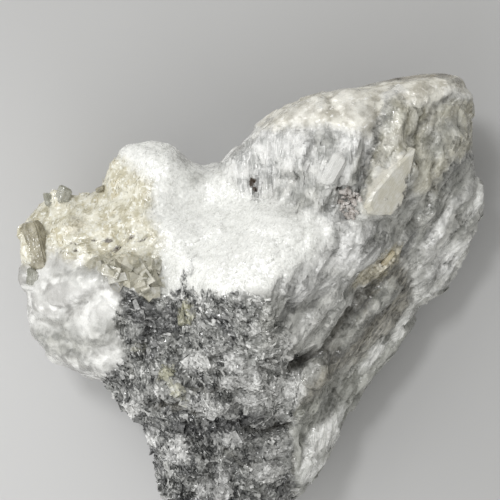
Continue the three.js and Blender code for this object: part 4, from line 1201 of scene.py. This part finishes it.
def clear_finish(name, thin, deep, gloss, clear):
    """A clear crystal. Thin is its colour where it is clear and deep where it is milky. Gloss is
    its least roughness, and clear is the share of the light that goes through."""
    made, tree, shader, place = finish(name)
    grown = add(tree, "Attribute", attribute_name="grown").outputs["Vector"]
    growth = place_group(tree, growth_lines, {"Place": place, "Grown": grown})
    lines = growth["Lines"]
    bump = add(tree, "Bump", {"Strength": 0.4, "Distance": 0.00015, "Height": lines}).outputs[0]
    rough = mix(tree, rise(tree, lines, 0.4, 0.65), grey(gloss), grey(gloss + 0.2))
    colour = mix(tree, growth["Milk"], (*thin, 1), (*deep, 1))
    plug_in(tree, shader, {"Base Color": colour, "Roughness": rough, "Normal": bump})
    plug_in(tree, shader, {"IOR": 1.54, "Transmission Weight": clear})
    return made


smoky = clear_finish("smoky_crystal", (0.52, 0.485, 0.37), (0.27, 0.245, 0.17), 0.12, 0.45)
greenish = clear_finish("greenish_crystal", (0.60, 0.60, 0.54), (0.33, 0.33, 0.27), 0.1, 0.5)
milky_clear = clear_finish("milky_crystal", (0.80, 0.80, 0.78), (0.74, 0.74, 0.715), 0.12, 0.3)
golden = clear_finish("golden_crystal", (0.80, 0.72, 0.52), (0.50, 0.42, 0.27), 0.1, 0.4)

prism("smoky_blade", -35.7, 11.2, (8.4, 3.6, 3.8), (-80, 3, -30), -0.7, smoky, 60, 0.35, 0.07)
prism("green_block", -36.6, 5.6, (3.0, 2.5, 2.4), (80, 4, -20), -0.1, greenish, 62, 0.3)
prism("pale_band", -37.0, 4.2, (3.0, 1.0, 1.2), (-8, 0, 12), 0.4, milky_clear, 63, 0.4)
prism("notch_crystal", -31.8, 19.4, (2.8, 2.6, 2.6), (70, 30, 25), -0.3, greenish, 64, 0.3)
prism("notch_chip", -34.4, 18.8, (2.2, 1.4, 1.6), (100, 20, 0), 0.1, greenish, 66, 0.3)
prism("olive_notch_crystal", -25.6, 20.4, (2.6, 1.3, 1.2), (8, 0, 0), 0.2, smoky, 65, 0.4)
prism("milky_finger", 12.6, 23.1, (5.4, 2.7, 2.0), (61, -3, 8), 0.1, milky_clear, 69, 0.6, 0.02)
prism("golden_crystal", 22.0, 8.9, (3.0, 1.0, 1.0), (50, 2, 10), -0.1, golden, 68)

# ------------------------------------------------------------------------------------------
# The cream blade.
# A flat cleavage plate of cloudy cream mineral, narrow at its far end and broken straight all
# round. It has grown into the tongue and lies on its flat seat, below the cream cap.

TONGUE_BLADE = [
    (17.5, 17.0), (18.3, 16.0), (21.9, 16.0), (23.5, 17.6), (24.3, 19.6), (24.6, 21.5),
    (25.3, 24.2), (25.7, 26.6), (23.8, 25.2), (22.2, 23.6), (20.6, 21.7), (18.3, 19.1),
]
BLADE_THICKNESS = 2.2
BLADE_LIFT = 0.5  # how far its face stands above the seat
BEVEL_WIDTH, BEVEL_DEPTH = 0.12, 0.35  # the slanting edge: a share of its reach, millimetres
STEPS_PER_SIDE = 5

creamy = clear_finish("cream_blade", (0.56, 0.54, 0.46), (0.66, 0.65, 0.60), 0.16, 0.12)
blade_draw = np.random.default_rng(77)
rim = []
for (ax, ay), (bx, by) in zip(TONGUE_BLADE, TONGUE_BLADE[1:] + TONGUE_BLADE[:1]):
    for part in np.linspace(0, 1, STEPS_PER_SIDE, endpoint=False):
        nudge_x, nudge_y = 0.05 * blade_draw.normal(size=2)
        rim.append((ax + part * (bx - ax) + nudge_x, ay + part * (by - ay) + nudge_y))
rim = np.array(rim)
under = [rim + inset * (rim.mean(axis=0) - rim) for inset in (0, 0.3, 0.6, 0.9)]
spots = np.array([tuple(ground_under(x, y)[0]) for x, y in np.concatenate(under)])
slope_x, slope_y, level = plane_through(spots)
out = unit(np.array([[-slope_x, -slope_y, 1.0]]))[0]
flat = np.c_[rim, rim @ (slope_x, slope_y) + level]
inward = BEVEL_WIDTH * (flat.mean(axis=0) - flat)
rings = [
    flat + out * (BLADE_LIFT - BLADE_THICKNESS),
    flat + out * (BLADE_LIFT - BEVEL_DEPTH),
    flat + inward + out * BLADE_LIFT,
]
across_lines = np.array([[0.8, 0.1, 0], [-0.6, 0.1, 0], [0, 0, 1]])
set_crystal("cream_tongue", rings, np.concatenate(rings) @ across_lines, creamy)

# ------------------------------------------------------------------------------------------
# The grains in the vug.
# Sixty small pinkish crystals that have grown every way in the little hollow beside the
# blade, crowded together and held by their feet.

VUG_X, VUG_Y = 15.0, 17.8
VUG_HALF_WIDTH, VUG_HALF_LENGTH = 2.0, 2.75
GRAIN_COUNT = 60

pinkish = clear_finish("pinkish_grain", (0.80, 0.765, 0.735), (0.43, 0.385, 0.35), 0.08, 0.35)
vug_draw = np.random.default_rng(76)
for number in range(GRAIN_COUNT):
    angle, far = 2 * math.pi * vug_draw.random(), math.sqrt(vug_draw.random())
    sizes = 0.3 + 0.8 * vug_draw.random(3) ** 1.5
    turns = (360 * vug_draw.random(), 60 * vug_draw.random() - 30, 60 * vug_draw.random() - 30)
    grain_x = VUG_X + VUG_HALF_WIDTH * far * math.cos(angle)
    grain_y = VUG_Y + VUG_HALF_LENGTH * far * math.sin(angle)
    name = f"vug_grain_{number:02d}"
    prism(name, grain_x, grain_y, sizes, turns, 0.25, pinkish, 80 + number, 0.4, 0)
